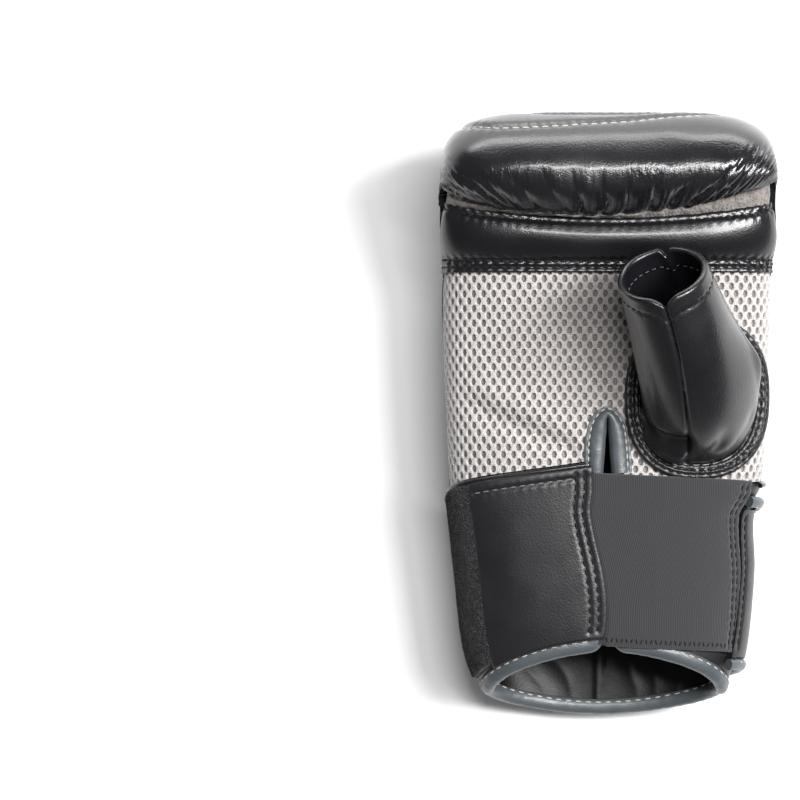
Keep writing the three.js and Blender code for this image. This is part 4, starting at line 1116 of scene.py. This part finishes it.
def cuff_binding():
    """Bead round the mouth, turned up along both flaps."""
    bend = np.radians(np.linspace(0, 90, 14))[::-1]
    corner, climb = FLAP_GAP + FLAP_CORNER * (1 - np.sin(bend)), FLAP_CORNER * (1 - np.cos(bend))
    mouth = np.linspace(FLAP_GAP + FLAP_CORNER + 1, 359 - FLAP_GAP - FLAP_CORNER, 260)
    flap = np.linspace(FLAP_CORNER + 8, FLAP_CORNER + 1, 8)
    turn = np.concatenate([[FLAP_GAP] * 8, corner, mouth, 360 - corner[::-1], [360 - FLAP_GAP] * 8])
    rise = np.concatenate([flap, climb, 0 * mouth, climb[::-1], flap[::-1]])
    y = mouth_y(turn) - CUFF_BEAD / 2 - LAYER_GAP + rise
    sides, middle = 18, len(turn) // 2
    tape = bead("cuff_binding_tape", hull_point(turn, y, -CUFF_WALL / 2), hull_normal(turn, y), CUFF_BEAD + 1.0,
                CUFF_BEAD - 0.2, TAPE, "cuff_binding", sides=sides, squareness=2.3, wrinkle=0.035)
    # a quarter turn of the section points to the glove: stitches lie above and below it
    one, other = tape.points[middle, sides // 4, 1], tape.points[middle, 3 * sides // 4, 1]
    toward = 0.25 if one > other else 0.75
    for step in (0.165, -0.165):
        path = [(toward + step, t) for t in np.linspace(0.06, 0.94, 25)]
        sew(tape, path, "cream", length=2.4, width=0.7, pitch=4.0, lift=0.15)


def wrist_welt():
    turn = np.linspace(WELT_START, WELT_END, 240)
    y = seam_y(turn) - 1
    bead("wrist_welt_piping", hull_point(turn, y, 1.3), hull_normal(turn, y), WELT_BEAD, 2.0, SHELL_LEATHER,
         "wrist_welt", sides=10, wrinkle=0.05)


cuff_binding()
wrist_welt()


def flap_edge(v):
    return -7.2 + 6.6 * np.sin(np.pi / 2 * v) ** 2 - 2 * v ** 8


def cuff_panel():
    def place(u, v):
        turn = PANEL_SIDE + u * (flap_edge(v) - PANEL_SIDE)
        top = seam_y(turn) - FLAP_TOP
        return turn, top + v * (mouth_y(turn) - top)

    def lift(u, v):
        return 2.5 + 0.4 * np.sin(np.pi * u) * np.sin(np.pi * v) + 0.25 * bump_at(v, 0.02, 0.02)
    panel, under = sheets(place, 130, 110, lift, LAYER_GAP)
    soften(panel, 0.22, 4, 4, 91)
    top = [(0.03, 0.05), (0.5, 0.05), (0.86, 0.05)]
    stitched(panel, *((upright(u, 0.02, 0.97), (0.6, 0.9, 0.03, 1.7, seed), ("black", 2.6, 1.0, 3.7, 0.15))
                      for u, seed in ((0.955, 92), (0.885, 93))),
             (top, (0.6, 0.9, 0.07, 1.8, 95), ("grey", 2.4, 0.6, 3.6, 0.15)))
    walled("cuff_panel_leather", panel, under, WRIST_LEATHER, "cuff_panel")


cuff_panel()


# ---- loop strip
def pile_tree():
    """Loops of the touch fastener: short bent yarns standing out of the cloth."""
    tree, given = node_group("loop_pile", ("Density", "Float", 2.2e6), ("Yarn", "Float", 0.00009),
                             ("Height", "Float", 0.0007), ("Seed", "Int", 5), ("Cloth", "Material"))
    spots = add(tree, "DistributePointsOnFaces", {"Mesh": given["Geometry"], "Density": given["Density"],
                                                  "Seed": given["Seed"]}).node.outputs
    arc = add(tree, "CurveArc", {"Resolution": 5, "Sweep Angle": math.radians(250), "Radius": given["Height"]})
    circle = add(tree, "CurvePrimitiveCircle", {"Resolution": 3, "Radius": given["Yarn"]})
    yarn = add(tree, "CurveToMesh", {"Curve": arc, "Profile Curve": circle})
    stand = add(tree, "Transform", {"Geometry": yarn, "Rotation": (math.radians(90), 0, 0)})
    chance = add(tree, "FunctionNodeRandomValue", {"Max": 6.283, "Seed": given["Seed"]}, 1, data_type="FLOAT")
    spin = add(tree, "FunctionNodeAxisAngleToRotation", {"Axis": (0, 0, 1), "Angle": chance})
    turned = add(tree, "FunctionNodeRotateRotation", {0: spots["Rotation"], 1: spin}, rotation_space="LOCAL")
    yarns = add(tree, "InstanceOnPoints", {"Points": spots["Points"], "Instance": stand, "Rotation": turned})
    return ended(tree, add(tree, "RealizeInstances", {"Geometry": yarns}), given["Cloth"])


def loop_strip():
    def place(u, v):
        turn = LOOP_END + u * (PANEL_SIDE - 0.6 - LOOP_END)
        top = seam_y(turn) - FLAP_TOP
        return turn, top + v * (mouth_y(turn) + 2 - top)
    strip, under = sheets(place, 80, 60, 2.0, LAYER_GAP)
    soften(strip, 0.12, 20, 30, 97)
    piece = walled("loop_strip_cloth", strip, under, LOOP_CLOTH, "loop_strip")
    faces = np.roll(quads(numbered(*strip.grid_u.shape))[:, ::-1], 1, axis=1)
    mesh = bpy.data.meshes.new("pile_ground")
    mesh.from_pydata(((strip.points.reshape(-1, 3) + TO_FRAME) / 1000).tolist(), [], faces.tolist())
    pile = grown(placed("pile_ground", mesh), pile_tree(), Cloth=LOOP_CLOTH)
    pile.name = "loop_strip_pile"
    settle(placed("loop_strip_pile", pile), slot="loop")
    return piece


loop_piece = loop_strip()


# ---- elastic
def elastic_band():
    def place(u, v):
        edge = flap_edge(v) - 1.2
        turn = edge + u * (ELASTIC_END - 5 * (1 - v) - edge)
        return turn, ELASTIC_TOP - ELASTIC_SLOPE * u - ELASTIC_WIDTH * v
    # it tucks under the panel's edge at its near side
    cloth, under = sheets(place, 150, 170, lambda u, v: 1.3 + 1.5 * ramp(0.0, 0.06, u),
                          lambda u, v: 1.15 - 0.3 * bump_at(u, 0, 0.05))
    cloth.raise_by(0.18 * clouds(cloth.grid_u * 4, cloth.grid_v * 4, 99) * ramp(0.05, 0.15, cloth.grid_u))
    stitched(cloth, *((upright(u), (0.5, 0.7, 0.14, 1.2, 101), ("black", 2.4, 0.8, 3.4))
                      for u in (0.925, 0.97)))
    piece = walled("elastic_band_cloth", cloth, under, ELASTIC_CLOTH, "elastic_band", steps=2)
    # overlock along the lower edge: stitches across it, leaning one way and the other
    places, normals = cloth.line([(0.03, 0.972), (0.5, 0.972), (0.9, 0.972)], 1.9)
    along = unit(np.gradient(places, axis=0))
    tilt = np.where(np.arange(len(along)) % 2, 1.0, -1.0)[:, None] * 0.35
    size = np.broadcast_to([1.0, 0.3, 0.22], places.shape)
    leaning = unit(np.cross(normals, along) + tilt * along)
    THREADS["black"].append((places + normals * 0.1, leaning, normals, size))
    return piece


elastic_piece = elastic_band()


# ---- strap, patch and tab
def strap_middle(turn):
    eased = np.minimum(1, (turn - ELASTIC_END) / (STRAP_END - ELASTIC_END) * 1.4)
    return STRAP_TOP - STRAP_WIDTH / 2 - STRAP_DROP * eased * eased * (3 - 2 * eased)


CORNER_TURN = STRAP_CORNER / per_degree(STRAP_END - 6, float(strap_middle(STRAP_END)))


def strap_outline(grow):
    """Turns, and the strap's half width at each, with its rounded end."""
    straight, corner = 150, 14   # places along them
    reach = (STRAP_CORNER + grow) / STRAP_CORNER
    run = np.linspace(ELASTIC_END - 1.5, STRAP_END - CORNER_TURN, straight)
    bend = np.radians(np.linspace(0, 90, corner + 1)[1:])
    turns = np.concatenate([run, STRAP_END - CORNER_TURN + CORNER_TURN * reach * np.sin(bend)])
    halves = np.concatenate([np.full(straight, STRAP_WIDTH / 2 + grow),
                             STRAP_WIDTH / 2 - STRAP_CORNER * (1 - reach * np.cos(bend))])
    return turns, halves


def strap():
    turns, halves = strap_outline(0)
    u = np.linspace(0, 1, len(turns))

    def place(a, v):
        turn, half = np.interp(a, u, turns), np.interp(a, u, halves)
        return turn, strap_middle(turn) + half * (1 - 2 * v)
    top, under = sheets(place, 72, 0, STRAP_LIFT + STRAP, STRAP_LIFT, u=u)
    # its underside stays flat where it lies near the floor
    high = np.where(top.points[..., 2] < 12, 0.0, 1.0)
    top.raise_by(0.12 * clouds(top.grid_u * 9, top.grid_v * 4, 111) * high)
    stitched(top, (upright(0.022, 0.05, 0.95), (0.5, 0.7, 0.12, 1.2), ("black", 2.4, 0.8, 3.4)))
    walled("strap_leather", top, under, WRIST_LEATHER, "strap", sides=False, ends=False)


def strap_binding():
    """Bead round the strap's edge, open at the elastic."""
    turns, halves = strap_outline(STRAP_BEAD / 2 + 0.9)
    turn = np.concatenate([turns, turns[-1:], turns[::-1]])
    y = strap_middle(turn) + np.concatenate([halves, [0.0], -halves[::-1]])
    normals = hull_normal(turn, y)
    tape = bead("strap_binding_tape", hull_point(turn, y, STRAP_LIFT + STRAP_BEAD / 2 - 0.1), normals,
                STRAP_BEAD + 0.6, STRAP_BEAD - 0.2, TAPE, "strap_binding", squareness=2.3, wrinkle=0.03)
    # the stitches lie on the outside, near the edge that faces the leather
    look, sides = len(turn) // 4, len(tape.u) - 1
    face = np.argmax((tape.normals[look] * normals[look]).sum(-1))
    beside = [tape.points[look, (face + k) % sides, 1] for k in (2, -2)]
    step = 0.1 if beside[0] < beside[1] else -0.1
    path = [((face / sides + step) % 1, t) for t in np.linspace(0.01, 0.99, 9)]
    sew(tape, path, "cream", length=2.2, width=0.62, smooth=False)


strap()
strap_binding()


def strap_patch():
    span = PATCH_LENGTH / per_degree(PATCH_TURN, float(strap_middle(PATCH_TURN)))

    def place(u, v):
        turn = PATCH_TURN + span * (u - 0.5)
        # rounded corners: the ends draw in
        straight = PATCH_LENGTH / 2 - PATCH_CORNER
        end = np.maximum(0, np.abs(2 * u - 1) * PATCH_LENGTH / 2 - straight) / PATCH_CORNER
        half = PATCH_WIDTH / 2 - PATCH_CORNER * (1 - np.sqrt(np.maximum(0, 1 - end ** 2)))
        return turn, strap_middle(turn) + half * (1 - 2 * v)
    base = STRAP_LIFT + STRAP + LAYER_GAP

    def raised(u, v):
        edge = np.minimum(*((1 - np.abs(2 * a - 1)) * size / 2
                            for a, size in ((u, PATCH_LENGTH), (v, PATCH_WIDTH))))
        return base + PATCH - 0.55 * ramp(3.2, 3.9, edge) - 0.9 * (1 - ramp(0, 0.8, edge))
    top, under = sheets(place, 60, 120, raised, base)
    border = [(0.027, 0.06), (0.5, 0.06), (0.973, 0.06), (0.973, 0.5), (0.973, 0.94), (0.5, 0.94),
              (0.027, 0.94), (0.027, 0.5), (0.027, 0.06)]
    top.press(border, 0.35, 0.5, smooth=False)
    top.find_normals()
    shell("strap_patch_rubber", top.points, under.points, RUBBER, "strap_patch", sharp=40,
          size=(PATCH_LENGTH, PATCH_WIDTH))
    sew(top, border, "black", length=2.3, width=0.8, pitch=3.4, lift=0.1, smooth=False)


def size_tab():
    span = TAB_WIDTH / per_degree(TAB_TURN, float(mouth_y(TAB_TURN)))

    def place(u, v):
        turn = TAB_TURN + span * (u - 0.5)
        return turn, mouth_y(turn) - CUFF_BEAD + TAB_LENGTH * (1 - v)
    lift = (CUFF_BEAD - CUFF_WALL) / 2 + LAYER_GAP
    walled("size_tab_tape", *sheets(place, 16, 30, lift + 1, lift), TAB_TAPE, "size_tab", steps=2)


strap_patch()
size_tab()


# ---- threads
def stitch_tree():
    """A small ball, stretched and turned at each point to be one stitch."""
    tree, given = node_group("stitches", ("Sides", "Int", 6), ("Rings", "Int", 5), ("Thread", "Material"))
    ball = add(tree, "MeshUVSphere", {"Radius": 1.0, "Segments": given["Rings"], "Rings": given["Sides"]})
    laid = add(tree, "Transform", {"Geometry": ball, "Rotation": (0, math.radians(90), 0)})
    along, up, size = (add(tree, "InputNamedAttribute", {"Name": name}, "Attribute", data_type="FLOAT_VECTOR")
                       for name in ("along", "up", "size"))
    first = add(tree, "FunctionNodeAlignRotationToVector", {"Vector": along}, axis="X")
    second = add(tree, "FunctionNodeAlignRotationToVector", {"Rotation": first, "Vector": up}, axis="Z",
                 pivot_axis="X")
    spots = add(tree, "InstanceOnPoints", {"Points": given["Geometry"], "Instance": laid, "Rotation": second,
                                           "Scale": size})
    smooth = add(tree, "SetShadeSmooth", {"Geometry": add(tree, "RealizeInstances", {"Geometry": spots})})
    return ended(tree, smooth, given["Thread"])


def threads():
    tree = stitch_tree()
    for colour, rows in THREADS.items():
        places, along, up, size = (np.concatenate([r[k] for r in rows]) for k in range(4))
        carrier = points_object("stitch_places", (places + TO_FRAME) / 1000, along=along, up=up,
                                size=size / 1000)
        mesh = grown(carrier, tree, Thread=THREAD[colour], Sides=6, Rings=6)
        mesh.name = f"stitches_{colour}"
        settle(placed(mesh.name, mesh))


threads()

# ---- floor, light and camera
paper, _, paper_shader = new_material("white_paper", Roughness=0.9)
paper_shader.inputs["Base Color"].default_value = linear("#f4f4f4")
bpy.ops.mesh.primitive_plane_add(size=6, location=(0, 0, -0.0003))
floor = bpy.context.object
floor.name = "floor"
floor.data.materials.append(paper)


def lamp(name, place, target, size, power):
    data = bpy.data.lights.new(name, "AREA")
    data.shape, data.energy = "RECTANGLE", power
    data.size, data.size_y = size
    made = placed(name, data)
    made.location = place
    made.rotation_mode = "QUATERNION"
    made.rotation_quaternion = (Vector(target) - Vector(place)).to_track_quat("-Z", "Y")


lamp("main_softbox", (0.7, 0.23, 1.1), (0, 0, 0.04), (0.42, 0.6), 27)
lamp("overhead_strip", (0.1, 0.27, 1.3), (0, 0, 0.05), (0.6, 0.12), 10)
lamp("back_wall", (0.0, 1.2, 0.19), (0, 0.08, 0.06), (1.6, 0.3), 13)

# the photograph is exposed so that its paper is pure white
bpy.context.scene.view_settings.view_transform = "Standard"
world = bpy.data.worlds.new("studio")
bpy.context.scene.world = world
world.use_nodes = True
background = world.node_tree.nodes["Background"].inputs
background["Color"].default_value = linear("#ffffff")
background["Strength"].default_value = 0.15

lens = bpy.data.cameras.new("camera")
lens.sensor_width, lens.lens, lens.clip_start, lens.clip_end = 36, LENS, 0.01, 20
camera = placed("camera", lens)
camera.location = (np.array([CAMERA_X, CAMERA_Y, CAMERA_Z]) + TO_FRAME) / 1000
bpy.context.scene.camera = camera
